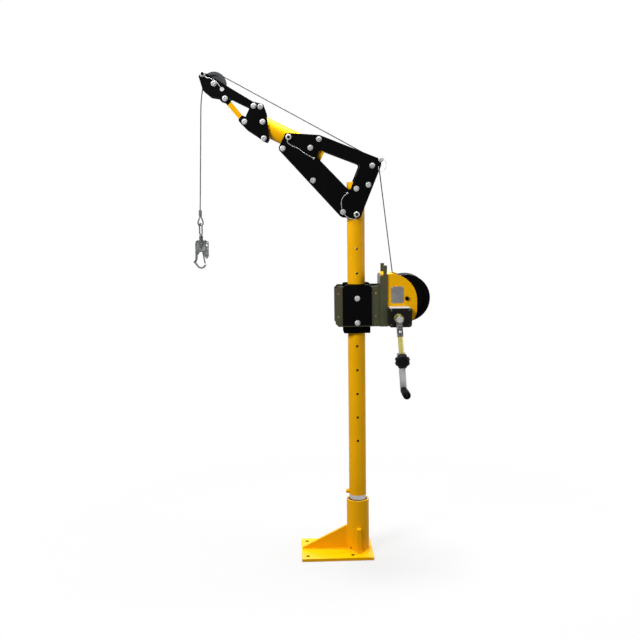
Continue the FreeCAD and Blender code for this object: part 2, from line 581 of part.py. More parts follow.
derive("arm_y", "hub_back + hub_depth / 2")
derive("clamp_front", "arm_y + crank_tube_size / 2 + knob_gap")
derive("bar_front", "arm_y - crank_tube_size / 2 - bar_play")
derive("bar_back", "bar_front - bar_thickness")
derive("clamp_back", "bar_back - bar_play - block_wall")
derive("tunnel_half", "bar_width / 2 + bar_play")
derive("block_half", "tunnel_half + block_wall")
settle()


def boom_frame():
    """Post on the mast's top, the pair of frame plates and the boom tube that they hold."""
    post = new_body("PostBlank")
    wall = sketch_on(post, "XZ_Plane", "PostWall")
    bore = "mast_od / 2 - mast_wall - seat_gap - post_spigot_wall"
    peg = "mast_od / 2 - mast_wall - seat_gap / 3"
    draw_outline(wall, [(bore, "mast_top - post_spigot"), (peg, "mast_top - post_spigot"), (peg, "mast_top"),
                        ("mast_od / 2", "mast_top"), ("mast_od / 2", "post_top"),
                        ("mast_od / 2 - post_wall", "post_top"),
                        ("mast_od / 2 - post_wall", "mast_top + post_wall"),
                        (bore, "mast_top + post_wall")])
    revolve(post, wall)
    drilled = sketch_on(post, "XZ_Plane", "PostHoles")
    draw_circle(drilled, ("pivot_x", "pivot_z"), "bolt_hole")
    draw_circle(drilled, ("mast_pin_x", "mast_pin_z"), "pin_hole")
    cut_through(post, drilled)
    post.Label = "head_post"

    plates = paired_plates(
        "frame_plate",
        ["frame_low", "frame_high", "frame_knee", "frame_nose", "frame_chin", "frame_foot", "frame_toe"],
        [(name, "bolt_hole") for name in FRAME_BOLTS] + [("boom_pin", "pin_hole"), ("mast_pin", "pin_hole"),
                                                         ("rear_axle", "axle_hole")],
        "plate_inner", "plate_thickness",
        [("frame_corner", ["frame_low", "frame_high", "frame_foot", "frame_toe"]),
         ("frame_corner / 2", ["frame_nose", "frame_chin"])],
        (["window_top", "window_back", "window_base", "window_end"], "window_corner"))

    tube = new_body("boom_tube")
    tube.Placement = FreeCAD.Placement(Vec(0, 0, 0), Turn(Vec(0, 1, 0), 10))
    tube.setExpression("Placement.Rotation.Angle", "Sizes.boom_angle")
    tube.setExpression("Placement.Base.z", "Sizes.boom_height")
    ring = sketch_on(tube, "YZ_Plane", "TubeRing", "-boom_nose")
    draw_circle(ring, ("0", "0"), "boom_od")
    draw_circle(ring, ("0", "0"), "boom_od - 2 * boom_wall")
    pad(tube, ring, "boom_nose - boom_tail_along")
    drilled = sketch_on(tube, "XZ_Plane", "TubeHoles")
    draw_circle(drilled, ("-boom_pin_along", "0"), "pin_hole")
    draw_circle(drilled, ("-tail_bolt_along", "0"), "bolt_hole")
    draw_circle(drilled, ("-tube_bolt_along", "tube_bolt_rise"), "bolt_hole")
    cut_through(tube, drilled)
    hand_in(post, *plates, tube)


def boom_head():
    """Knuckle plates on the boom tube's end, the arm plates with the tip sheave's housing, and the struts."""
    knuckle = paired_plates(
        "knuckle_plate",
        ["knuckle_top", "knuckle_back", "knuckle_heel", "knuckle_sole", "knuckle_belly", "knuckle_ear",
         "knuckle_lip", "knuckle_notch", "knuckle_front"],
        [(name, "bolt_hole") for name in KNUCKLE_BOLTS],
        "plate_inner", "plate_thickness",
        [("knuckle_corner", ["knuckle_top", "knuckle_sole", "knuckle_ear", "knuckle_lip", "knuckle_front"])])
    head = paired_plates(
        "head_plate",
        ["arm_low_end", "arm_high_end", "head_tip", "head_lip", "head_jaw", "head_belly", "head_throat",
         "head_ear", "head_ear_back", "head_neck"],
        [("knuckle_pin", "bolt_hole"), ("strut_high", "bolt_hole"), ("tip_axle", "axle_hole"),
         ("tip_pin", "pin_hole"), ("anchor_screw", "anchor_screw_size")],
        "head_inner", "plate_thickness",
        [("head_corner", ["arm_low_end", "arm_high_end", "head_tip", "head_lip", "head_jaw", "head_belly"]),
         ("head_corner / 2", ["head_ear", "head_ear_back"])])
    low, high = Vec(get("strut_low_x"), 0, get("strut_low_z")), Vec(get("strut_high_x"), 0, get("strut_high_z"))
    straps = []
    for front in (-get("head_inner"), get("strut_inner")):
        ends = [disc(get("strut_width"), front, front + get("strut_thickness"), end.x, end.z)
                for end in (low, high)]
        run = high.sub(low)
        side = Vec(-run.z, 0, run.x).normalize().multiply(get("strut_width") / 2)
        ring = [low.add(side), high.add(side), high.sub(side), low.sub(side), low.add(side)]
        bar = Part.Face(Part.makePolygon([point.add(Vec(0, front, 0)) for point in ring]))
        strap = bar.extrude(Vec(0, get("strut_thickness"), 0)).multiFuse(ends).removeSplitter()
        for end in (low, high):
            strap = strap.cut(disc(get("bolt_hole"), front, front + get("strut_thickness"), end.x, end.z))
        straps.append(strap)
    hand_in(*knuckle, *head, solid_feature("head_struts", Part.makeCompound(straps)))


def fasteners():
    """Bolts of the frame, knuckle, head and bracket, the spacer tubes on them, and the two sheave axles."""
    outer, inner = get("plate_outer"), get("plate_inner")
    head_inner, strut_inner = get("head_inner"), get("strut_inner")
    bolts, spacers = [], []
    for name in FRAME_BOLTS + KNUCKLE_BOLTS:
        bolts.append(through_bolt(get("bolt_size"), -outer, outer, get(name + "_x"), get(name + "_z")))
    high = get("strut_high_x"), get("strut_high_z")
    bolts.append(through_bolt(get("bolt_size"), -inner, inner, *high))
    for name in ("knee_bolt", "front_bolt", "belly_bolt", "rear_bolt", "foot_bolt", "knuckle_bolt", "heel_bolt"):
        spacers.append(spacer(-inner, inner, get(name + "_x"), get(name + "_z")))
    pin = get("knuckle_pin_x"), get("knuckle_pin_z")
    low = get("strut_low_x"), get("strut_low_z")
    spacers.append(spacer(-head_inner, head_inner, *pin))
    spacers.append(spacer(-strut_inner, strut_inner, *high))
    spacers.append(spacer(-strut_inner, strut_inner, *low))
    spacers.append(spacer(-inner, -head_inner, *low))
    spacers.append(spacer(head_inner, inner, *low))
    screw = disc(get("anchor_screw_size"), -inner, -head_inner, get("anchor_screw_x"), get("anchor_screw_z"))
    cap = disc(get("hex_size"), -inner - get("hex_height") / 2, -inner,
               get("anchor_screw_x"), get("anchor_screw_z"))
    bolts.append(screw.fuse(cap).removeSplitter())
    clamp = get("bracket_outer")
    for height in ("winch_low", "winch_high"):
        bolts.append(through_bolt(get("bolt_size"), -clamp, clamp, 0, get(height)))
    axles = [through_bolt(get("axle_size"), -inner, inner, get("tip_axle_x"), get("tip_axle_z")),
             through_bolt(get("axle_size"), -outer, outer, get("rear_axle_x"), get("rear_axle_z"))]
    hand_in(solid_feature("through_bolts", Part.makeCompound(bolts)),
            solid_feature("boom_spacers", Part.makeCompound(spacers)),
            solid_feature("sheave_axles", Part.makeCompound(axles)))


def sheave(label, diameter, half_gap, centre):
    """A grooved sheave with a dished web, a hub that fills the gap between its plates, and a bronze bush."""
    wheel = new_body(label)
    profile = sketch_on(wheel, "XY_Plane", "SheaveProfile")
    rim, root = f"{diameter} / 2", f"{diameter} / 2 - groove_depth"
    side, bottom = "sheave_width / 2", "rope_size / 2 + rope_gap"
    shelf, hub = f"{diameter} / 2 - groove_depth - sheave_rim", "sheave_hub / 2"
    half_web, half_hub, bore = "sheave_web / 2", f"{half_gap} - side_gap", "sheave_bush_od / 2"
    draw_outline(profile, [(bore, half_hub), (hub, half_hub), (hub, half_web), (shelf, half_web), (shelf, side),
                           (rim, side), (root, bottom), (root, f"-({bottom})"), (rim, f"-{side}"),
                           (shelf, f"-{side}"), (shelf, f"-{half_web}"), (hub, f"-{half_web}"),
                           (hub, f"-({half_hub})"), (bore, f"-({half_hub})")])
    revolve(wheel, profile)
    place(wheel, centre + "_x", "0", centre + "_z")
    bush = new_body(label + "_bush")
    sleeve = sketch_on(bush, "XY_Plane", "BushProfile")
    draw_outline(sleeve, [("axle_size / 2 + running_gap", half_hub), (bore, half_hub),
                          (bore, f"-({half_hub})"), ("axle_size / 2 + running_gap", f"-({half_hub})")])
    revolve(bush, sleeve)
    place(bush, centre + "_x", "0", centre + "_z")
    hand_in(wheel, bush)


def release_pin(label, centre, y_front, y_rear):
    """A quick-release pin: ball-ended shaft, button head and the ring that its lanyard is tied to."""
    x, z = get(centre + "_x"), get(centre + "_z")
    button, depth = get("pin_button"), get("pin_button_depth")
    shaft = disc(get("pin_size"), y_front, y_rear + get("pin_tail"), x, z)
    collar = disc(button, y_front - depth, y_front, x, z)
    rim = [edge for edge in collar.Edges if edge.Vertexes and abs(edge.Vertexes[0].Y - y_front + depth) < 0.01
           and isinstance(edge.Curve, Part.Circle)]
    collar = collar.makeFillet(depth / 3, rim)
    push = disc(button / 2, y_front - depth - get("pin_tail") / 2, y_front - depth / 2, x, z)
    return solid_feature(label, shaft.multiFuse([collar, push]).removeSplitter())


def release_pins():
    """The three pull-out pins: boom tube, mast post and the rope keeper at the boom's tip."""
    outer, inner = get("plate_outer"), get("plate_inner")
    hand_in(release_pin("boom_pin", "boom_pin", -outer, outer),
            release_pin("mast_pin", "mast_pin", -outer, outer),
            release_pin("tip_keeper_pin", "tip_pin", -inner, inner))


def corner_points(name, corners):
    """Name the corners of an outline, so that a plate can be drawn through them."""
    names = []
    for index, (x, z) in enumerate(corners):
        names.append(f"{name}_corner_{index}")
        derive(names[-1] + "_x", x)
        derive(names[-1] + "_z", z)
    settle()
    return names


def grouped(label, items):
    """Several separate solids that are handed in as one node."""
    item = doc.addObject("Part::Compound", label)
    item.Label = label
    item.Links = items
    return item


def winch_bracket():
    """Sleeve on the mast, the carrier plates, the clamping plates, their two bolts and the winch's channel."""
    sleeve = new_body("bracket_sleeve")
    block = sketch_on(sleeve, "XY_Plane", "SleeveBlock", "winch_low - sleeve_drop")
    draw_outline(block, [("-sleeve_half", "-sleeve_depth"), ("sleeve_half", "-sleeve_depth"),
                         ("sleeve_half", "sleeve_depth"), ("-sleeve_half", "sleeve_depth")])
    draw_circle(block, ("0", "0"), "mast_od + 2 * seat_gap")
    pad(sleeve, block, "sleeve_drop + bracket_rise")
    drilled = sketch_on(sleeve, "XZ_Plane", "SleeveHoles")
    for height in ("winch_low", "winch_high"):
        draw_circle(drilled, ("0", height), "bolt_hole")
    cut_through(sleeve, drilled)

    low, high = "winch_low - carrier_drop", "winch_low + carrier_rise"
    carrier = corner_points("carrier", [
        ("-carrier_left", f"{low} + plate_chamfer"), ("-carrier_left + plate_chamfer", low),
        ("channel_left", low), ("channel_left", high),
        ("-carrier_left + plate_chamfer", high), ("-carrier_left", f"{high} - plate_chamfer")])
    holes = [("low_bolt", "bolt_hole"), ("high_bolt", "bolt_hole")]
    carriers = paired_plates("CarrierPlate", carrier, holes, "sleeve_depth", "carrier_thickness", [])
    low, high = "winch_low - bracket_drop", "winch_low + bracket_rise"
    clamp = corner_points("clamp", [
        ("-bracket_half", low), ("bracket_half", low), ("bracket_half", f"{high} - plate_chamfer"),
        ("bracket_half - plate_chamfer", high), ("-bracket_half + plate_chamfer", high),
        ("-bracket_half", f"{high} - plate_chamfer")])
    clamps = paired_plates("ClampPlate", clamp, holes, "carrier_outer", "bracket_thickness", [])

    channel = new_body("winch_channel")
    section = sketch_on(channel, "XY_Plane", "ChannelSection", "channel_low")
    web, inner = "channel_left + channel_wall", "channel_half - channel_wall"
    draw_outline(section, [("channel_left", "-channel_half"), ("channel_right", "-channel_half"),
                           ("channel_right", f"-({inner})"), (web, f"-({inner})"), (web, inner),
                           ("channel_right", inner), ("channel_right", "channel_half"),
                           ("channel_left", "channel_half")])
    pad(channel, section, "carrier_drop + channel_rise")
    ears = sketch_on(channel, "XY_Plane", "Ears", "channel_top")
    left, right = "channel_left + ear_left", "channel_left + ear_left + ear_width"
    for near, far in ((f"-({inner})", "-channel_half"), (inner, "channel_half")):
        draw_outline(ears, [(left, near), (right, near), (right, far), (left, far)])
    pad(channel, ears, "ear_rise - channel_rise")

    hand_in(sleeve, grouped("carrier_plates", carriers), grouped("bracket_plates", clamps), channel)


def winch_side(label, side):
    """A winch side plate with a rolled shoulder, a lip over the drum and the shaft's hole."""
    plate = new_body(label)
    sign = "-" if side < 0 else ""
    left = "channel_left + channel_wall"
    outline = sketch_on(plate, "XZ_Plane", "SideOutline", "side_inner" if side < 0 else "-side_outer")
    draw_outline(outline, [(left, "channel_low"), ("side_right", "channel_low"), ("side_right", "side_top"),
                           (left, "side_top")])
    pad(plate, outline, "side_thickness")
    settle()
    round_corners(plate, [Vec(get("side_right"), 0, get("side_top"))], "side_shoulder", Vec(0, 1, 0))
    round_corners(plate, [Vec(get("side_right"), 0, get("channel_low"))], "side_hip", Vec(0, 1, 0))
    lip = sketch_on(plate, "XY_Plane", "Lip", "side_top - side_thickness")
    near, far = f"{sign}side_outer", f"{sign}lip_gap"
    draw_outline(lip, [(left, near), ("lip_reach", near), ("lip_reach", far), (left, far)])
    pad(plate, lip, "side_thickness")
    holes = sketch_on(plate, "XZ_Plane", "ShaftHoles")
    draw_circle(holes, ("drum_x", "drum_z"), "shaft_neck + 2 * bolt_play")
    if side < 0:
        draw_circle(holes, ("pinion_x", "pinion_z"), "bearing_seat + 2 * bolt_play")
    cut_through(plate, holes)
    if side < 0:
        for diameter, length in (("pawl_boss", "bearing_depth - side_gap"),
                                 ("pawl_stud", "2 * bearing_depth + ratchet_width")):
            stud = sketch_on(plate, "XZ_Plane", "PawlStud", "side_outer")
            draw_circle(stud, ("pawl_x", "pawl_z"), diameter)
            pad(plate, stud, length)
    return plate


def gear_outline(teeth, turn, centre):
    """Corners of an involute gear of 25 degrees, thinned by the tooth play, with a tooth at the angle turn."""
    module, pressure = get("gear_module"), math.radians(25)
    pitch = module * teeth / 2
    base, root, tip = pitch * math.cos(pressure), pitch - 1.25 * module, pitch + 0.95 * module
    half = math.pi / (2 * teeth) - get("gear_play") / pitch
    start = math.tan(pressure) - pressure
    corners = []
    for tooth in range(teeth):
        middle = turn + math.tau * tooth / teeth
        flank = []
        for step in range(5):
            radius = max(base, root) + (tip - max(base, root)) * step / 4
            roll = math.acos(min(1.0, base / radius))
            flank.append((radius, half + start - (math.tan(roll) - roll)))
        if root < base:
            flank.insert(0, (root, flank[0][1]))
        flank = [(radius, -angle) for radius, angle in flank] + [(radius, angle) for radius, angle in flank[::-1]]
        corners += [(centre[0] + radius * math.cos(middle + angle), centre[1] + radius * math.sin(middle + angle))
                    for radius, angle in flank]
    return corners


def drum_works():
    """Drum with its flanges, the ring gear on it and the fixed shaft it turns on."""
    drum = new_body("drum")
    profile = sketch_on(drum, "XY_Plane", "DrumProfile")
    bore, rim, barrel = "shaft_size / 2 + running_gap", "flange_size / 2", "barrel_size / 2"
    inner, end, face = "barrel_size / 2 - barrel_wall", "drum_half", "drum_half - flange_thickness"
    hollow = "drum_half - 2 * flange_thickness"
    draw_outline(profile, [(bore, end), (rim, end), (rim, face), (barrel, face), (barrel, f"-({face})"),
                           (rim, f"-({face})"), (rim, f"-{end}"), (bore, f"-{end}"), (bore, f"-({hollow})"),
                           (inner, f"-({hollow})"), (inner, hollow), (bore, hollow)])
    revolve(drum, profile)
    place(drum, "drum_x", "0", "drum_z")

    x, z, half = get("drum_x"), get("drum_z"), get("drum_half")
    turn = math.radians(get("pinion_turn"))
    ring = prism(gear_outline(int(get("gear_teeth")), turn, (x, z)), -half - get("gear_width"), -half)
    ring = ring.cut(disc(get("gear_bore"), -half - get("gear_width"), -half, x, z))

    inner, outer, nut = get("side_inner"), get("side_outer"), get("shaft_nut_height")
    shaft = disc(get("shaft_size"), -inner, inner, x, z)
    collars = [disc(get("shaft_neck"), -outer - nut, outer + nut, x, z),
               disc(get("collar_size"), half + get("side_gap"), inner, x, z),
               disc(get("collar_size"), -inner, -half - get("side_gap"), x, z),
               hexagon(get("shaft_nut"), -outer - nut, -outer, x, z),
               hexagon(get("shaft_nut"), outer, outer + nut, x, z)]
    hand_in(drum, solid_feature("drum_gear", ring),
            solid_feature("drum_shaft", shaft.multiFuse(collars).removeSplitter()))


def brake_works():
    """Bearing, ratchet wheel, pawl and the cover over them."""
    x, z, face = get("pinion_x"), get("pinion_z"), -get("side_outer")
    depth, width = get("bearing_depth"), get("ratchet_width")
    bearing = disc(get("bearing_seat"), face - depth, -get("side_inner"), x, z)
    bearing = bearing.multiFuse([disc(get("bearing_flange"), face - depth, face, x, z),
                                 disc(get("bearing_nose"), face - depth - width, face - depth, x, z)])
    bearing = bearing.removeSplitter().cut(disc(get("shaft_bore"), -get("cover_front"), 0, x, z))

    count, tip, root = int(get("ratchet_teeth")), get("ratchet_size") / 2, get("ratchet_root") / 2
    notch = math.radians(52)
    ring = []
    for tooth in range(count):
        angle = notch + math.tau * tooth / count
        ring += [(x + root * math.cos(angle), z + root * math.sin(angle)),
                 (x + tip * math.cos(angle), z + tip * math.sin(angle))]
    back = face - depth - width
    ratchet = prism(ring, back, face - depth).cut(disc(get("bearing_nose"), back, face - depth, x, z))

    def polar(radius, degrees):
        """A point round the pinion's axis, its angle counted back from the notch that the pawl rests in."""
        angle = notch - math.radians(degrees)
        return x + radius * math.cos(angle), z + radius * math.sin(angle)

    stud = get("pawl_x"), get("pawl_z")
    elbow = polar(tip + 5, 3)
    run = Vec(elbow[0] - stud[0], 0, elbow[1] - stud[1])
    side = Vec(-run.z, 0, run.x).normalize()
    wide, thin = side * (get("pawl_boss") / 2), side * (get("pawl_neck") / 2)
    corners = [(stud[0] + wide.x, stud[1] + wide.z), (elbow[0] + thin.x, elbow[1] + thin.z),
               (elbow[0] - thin.x, elbow[1] - thin.z), (stud[0] - wide.x, stud[1] - wide.z)]
    nose = [polar(tip + 3, 9), polar(root + 2.4, 3.2), polar(root + 2.6, 1.4), polar(tip + 6, 1.4)]
    pawl = prism(corners, back, face - depth)
    pawl = pawl.multiFuse([disc(get("pawl_boss"), back, face - depth, *stud),
                           disc(get("pawl_neck"), back, face - depth, *elbow), prism(nose, back, face - depth)])
    pawl = pawl.removeSplitter().cut(disc(get("pawl_stud") + 2 * get("running_gap"), back, face - depth, *stud))

    shell = new_body("CoverShell")
    corners = corner_points("cover", [("pinion_x - cover_left", "pinion_z - cover_low"),
                                      ("pinion_x + cover_right", "pinion_z - cover_low"),
                                      ("pinion_x + cover_right", "pinion_z + cover_high"),
                                      ("pinion_x - cover_left", "pinion_z + cover_high")])
    outline = sketch_on(shell, "XZ_Plane", "CoverOutline", "side_outer")
    draw_outline(outline, [(name + "_x", name + "_z") for name in corners])
    pad(shell, outline, "cover_depth")
    round_corners(shell, [Vec(get(name + "_x"), 0, get(name + "_z")) for name in corners],
                  "cover_corner", Vec(0, 1, 0))
    hollow = new_body("CoverHollow")
    room = sketch_on(hollow, "XZ_Plane", "CoverRoom", "side_outer")
    signs = ((1, 1), (-1, 1), (-1, -1), (1, -1))
    draw_outline(room, [(f"{name}_x + {sx} * cover_wall", f"{name}_z + {sz} * cover_wall")
                        for name, (sx, sz) in zip(corners, signs)])
    pad(hollow, room, "cover_depth - cover_wall")
    opening = sketch_on(hollow, "XZ_Plane", "CoverBore", "side_outer")
    draw_circle(opening, ("pinion_x", "pinion_z"), "shaft_bore")
    pad(hollow, opening, "cover_depth")
    cover = boolean("Cut", "gear_cover", shell, hollow)
    hand_in(solid_feature("crank_bearing", bearing), solid_feature("ratchet_wheel", ratchet),
            solid_feature("brake_pawl", pawl), cover)


def leaning_body(label):
    """A body in the crank's own frame: origin on the pinion's axis, local -Z along the arm."""
    body = new_body(label)
    body.Placement = FreeCAD.Placement(Vec(0, 0, 0), Turn(Vec(0, -1, 0), 10))
    body.setExpression("Placement.Rotation.Angle", bound("crank_lean"))
    body.setExpression("Placement.Base.x", bound("pinion_x"))
    body.setExpression("Placement.Base.z", bound("pinion_z"))
    return body


def arm_point(reach):
    """Where a distance along the crank's arm lies in X and Z."""
    lean = math.radians(get("crank_lean"))
    return get("pinion_x") + reach * math.sin(lean), get("pinion_z") - reach * math.cos(lean)


def lobed_knob(x, z, back):
    """The clamp knob: a disc with a bevelled front, scalloped into lobes, with a raised cap in its middle."""
    size, front = get("knob_size"), back - get("knob_depth")
    bevel = Part.makeCone(size * 0.62, size * 0.36, get("knob_depth"), Vec(x, back, z), Vec(0, -1, 0))
    knob = disc(size, front, back, x, z).common(bevel)
    scallop, lobes = get("knob_scallop"), int(get("knob_lobes"))
    reach = (size + scallop / 2) / 2
    for turn in [math.tau * i / lobes for i in range(lobes)]:
        knob = knob.cut(disc(scallop, front, back, x + reach * math.cos(turn), z + reach * math.sin(turn)))
    return knob.fuse(disc(size * 0.4, front - get("knob_gap"), front + get("knob_gap"), x, z))


def crank():
    """Pinion shaft, hub, nut, knuckle, tube with its guide block, sliding bar, clamp knob and turning grip."""
    x, z = get("pinion_x"), get("pinion_z")
    half, width = get("drum_half"), get("gear_width")
    turn = math.radians(get("pinion_turn")) + math.pi * (1 + 1 / int(get("pinion_teeth")))
    pinion = prism(gear_outline(int(get("pinion_teeth")), turn, (x, z)), -half - width, -half - get("pinion_gap"))
    end = -get("hub_front") - get("crank_nut_depth")
    shaft = disc(get("crank_shaft"), end, -half - get("pinion_gap"), x, z)
    bore = disc(get("crank_shaft") + 2 * get("bolt_play"), end, 0, x, z)
    hub = disc(get("hub_size"), -get("hub_front"), -get("hub_back"), x, z).cut(bore)
    nut = hexagon(get("crank_nut"), end, -get("hub_front"), x, z).cut(bore)

    knuckle = leaning_body("crank_knuckle")
    block = sketch_on(knuckle, "XZ_Plane", "KnuckleBlock", "arm_y - knuckle_depth / 2")
    draw_outline(block, [("-knuckle_width / 2", "-knuckle_reach"), ("knuckle_width / 2", "-knuckle_reach"),
                         ("knuckle_width / 2", "0"), ("-knuckle_width / 2", "0")])
    pad(knuckle, block, "knuckle_depth")
    seat = sketch_on(knuckle, "XZ_Plane", "HubSeat")
    draw_circle(seat, ("0", "0"), "hub_size")
    cut_through(knuckle, seat)

    tube = leaning_body("crank_tube")
    ring = sketch_on(tube, "XY_Plane", "TubeRing", "-crank_tube_end")
    draw_circle(ring, ("0", "-arm_y"), "crank_tube_size")
    pad(tube, ring, "crank_tube_end - knuckle_reach")
    low, high = "-clamp_reach - clamp_height / 2", "-clamp_reach + clamp_height / 2"
    corners = [("-block_half", low), ("block_half", low), ("block_half", high), ("-block_half", high)]
    clamp = sketch_on(tube, "XZ_Plane", "ClampBlock", "bar_front + bar_play")
    draw_outline(clamp, corners)
    pad(tube, clamp, "clamp_front - bar_front - bar_play")
    stud = sketch_on(tube, "XZ_Plane", "StudHole")
    draw_circle(stud, ("0", "-clamp_reach"), "pin_hole")
    cut_through(tube, stud)
    guide = sketch_on(tube, "XZ_Plane", "GuideBlock", "clamp_back")
    draw_outline(guide, corners)
    pad(tube, guide, "bar_front + bar_play - clamp_back")
    tunnel = sketch_on(tube, "XY_Plane", "BarTunnel")
    near, far = "-bar_front - bar_play", "-bar_back + bar_play"
    draw_outline(tunnel, [("-tunnel_half", near), ("tunnel_half", near), ("tunnel_half", far),
                          ("-tunnel_half", far)])
    cut_through(tube, tunnel)

    bar = leaning_body("crank_bar")
    strip = sketch_on(bar, "XZ_Plane", "BarStrip", "bar_back")
    edge, foot = "bar_width / 2", "-grip_reach - bar_tail"
    draw_outline(strip, [(f"-{edge}", foot), (edge, foot), (edge, "-bar_start"), (f"-{edge}", "-bar_start")])
    pad(bar, strip, "bar_thickness")
    axle = sketch_on(bar, "XZ_Plane", "GripAxle", "bar_front")
    draw_circle(axle, ("0", "-grip_reach"), "grip_axle")
    pad(bar, axle, "grip_length - grip_size / 4")

    knob_x, knob_z = arm_point(get("clamp_reach"))
    knob_back = -get("clamp_front") - get("knob_gap")
    stem = disc(get("pin_size"), knob_back, -get("bar_front") - get("knob_gap"), knob_x, knob_z)
    knob = lobed_knob(knob_x, knob_z, knob_back).fuse(stem).removeSplitter()

    grip = new_body("crank_grip")
    profile = sketch_on(grip, "XY_Plane", "GripProfile")
    inner, rim, neck = "grip_axle / 2 + running_gap", "grip_size / 2", "grip_neck / 2"
    near, far = "-bar_front - side_gap", "-bar_front - grip_length"
    draw_outline(profile, [(inner, near), (neck, near), (f"{rim} - 1.5", f"{near} - grip_length * 0.2"),
                           (rim, f"{near} - grip_length * 0.45"), (rim, f"{far} + grip_size * 0.5"),
                           ("grip_size * 0.47", f"{far} + grip_size * 0.31"),
                           ("grip_size * 0.39", f"{far} + grip_size * 0.15"),
                           ("grip_size * 0.25", f"{far} + grip_size * 0.04"), ("grip_size * 0.16", far),
                           (inner, far)])
    revolve(grip, profile)
    grip_x = "pinion_x + grip_reach * sin(crank_lean)"
    place(grip, grip_x, "0", "pinion_z - grip_reach * cos(crank_lean)")
    hand_in(solid_feature("pinion_shaft", shaft.fuse(pinion).removeSplitter()), solid_feature("crank_hub", hub),
            solid_feature("crank_nut", nut), knuckle, tube, bar, solid_feature("clamp_knob", knob), grip)


def cord(points, diameter):
    """A round cord through the points: straight runs joined by tangent arcs.

    Each arc takes 0.45 of the shorter run beside it, so its radius is that length over the tangent of half
    the turn. The least radius is printed, and the volume is compared with section times length.
    """
    edges, radii, start = [], [], points[0]
    for before, corner, after in zip(points, points[1:], points[2:]):
        back, ahead = before.sub(corner), after.sub(corner)
        turn = math.pi - back.getAngle(ahead)
        if turn < 0.002:
            continue
        reach = 0.45 * min(back.Length, ahead.Length)
        enter, leave = corner + back.normalize() * reach, corner + ahead.normalize() * reach
        middle = (enter + leave) * 0.5
        bulge = middle + (corner - middle) * (math.tan(turn / 4) / math.tan(turn / 2))
        edges += [Part.LineSegment(start, enter).toShape(), Part.Arc(enter, bulge, leave).toShape()]
        radii.append(reach / math.tan(turn / 2))
        start = leave
    edges.append(Part.LineSegment(start, points[-1]).toShape())
    return tube_on(edges, diameter, min(radii, default=0))


def tube_on(edges, diameter, least=0):
    """A solid tube of a round section along joined edges."""
    spine = Part.Wire(edges)
    first = edges[0]
    begin = first.valueAt(first.FirstParameter)
    circle = Part.Wire(Part.makeCircle(diameter / 2, begin, first.tangentAt(first.FirstParameter)))
    tube = spine.makePipeShell([circle], True, False)
    expected = math.pi * diameter ** 2 / 4 * spine.Length
    print(f"cord length {spine.Length:.1f}, least bend radius {least:.1f}, "
          f"volume ratio {tube.Volume / expected:.4f}")
    return tube


def wrap(centre, radius, begin, end):
    """An arc in the middle plane round a sheave, between two directions given in degrees."""
    where = [Vec(centre.x + radius * math.cos(math.radians(a)), 0, centre.z + radius * math.sin(math.radians(a)))
             for a in (begin, (begin + end) / 2, end)]
    return Part.Arc(*where).toShape(), where[0], where[2]


def biarc(start, along, end, leave):
    """Two arcs from one point and direction to another, meeting on a shared tangent."""
    span, both = end - start, along + leave
    spread = 2 * (1 - along.dot(leave))
    reach = (-span.dot(both) + math.sqrt(span.dot(both) ** 2 + spread * span.dot(span))) / spread
    near, far = start + along * reach, end - leave * reach
    joint = (near + far) * 0.5
    arcs = []
    for first, corner, last in ((start, near, joint), (joint, far, end)):
        turn = (corner - first).getAngle(last - corner)
        middle = (first + last) * 0.5
        bulge = middle + (corner - middle) * (math.tan(turn / 4) / math.tan(turn / 2))
        arcs.append(Part.Arc(first, bulge, last).toShape())
    return arcs


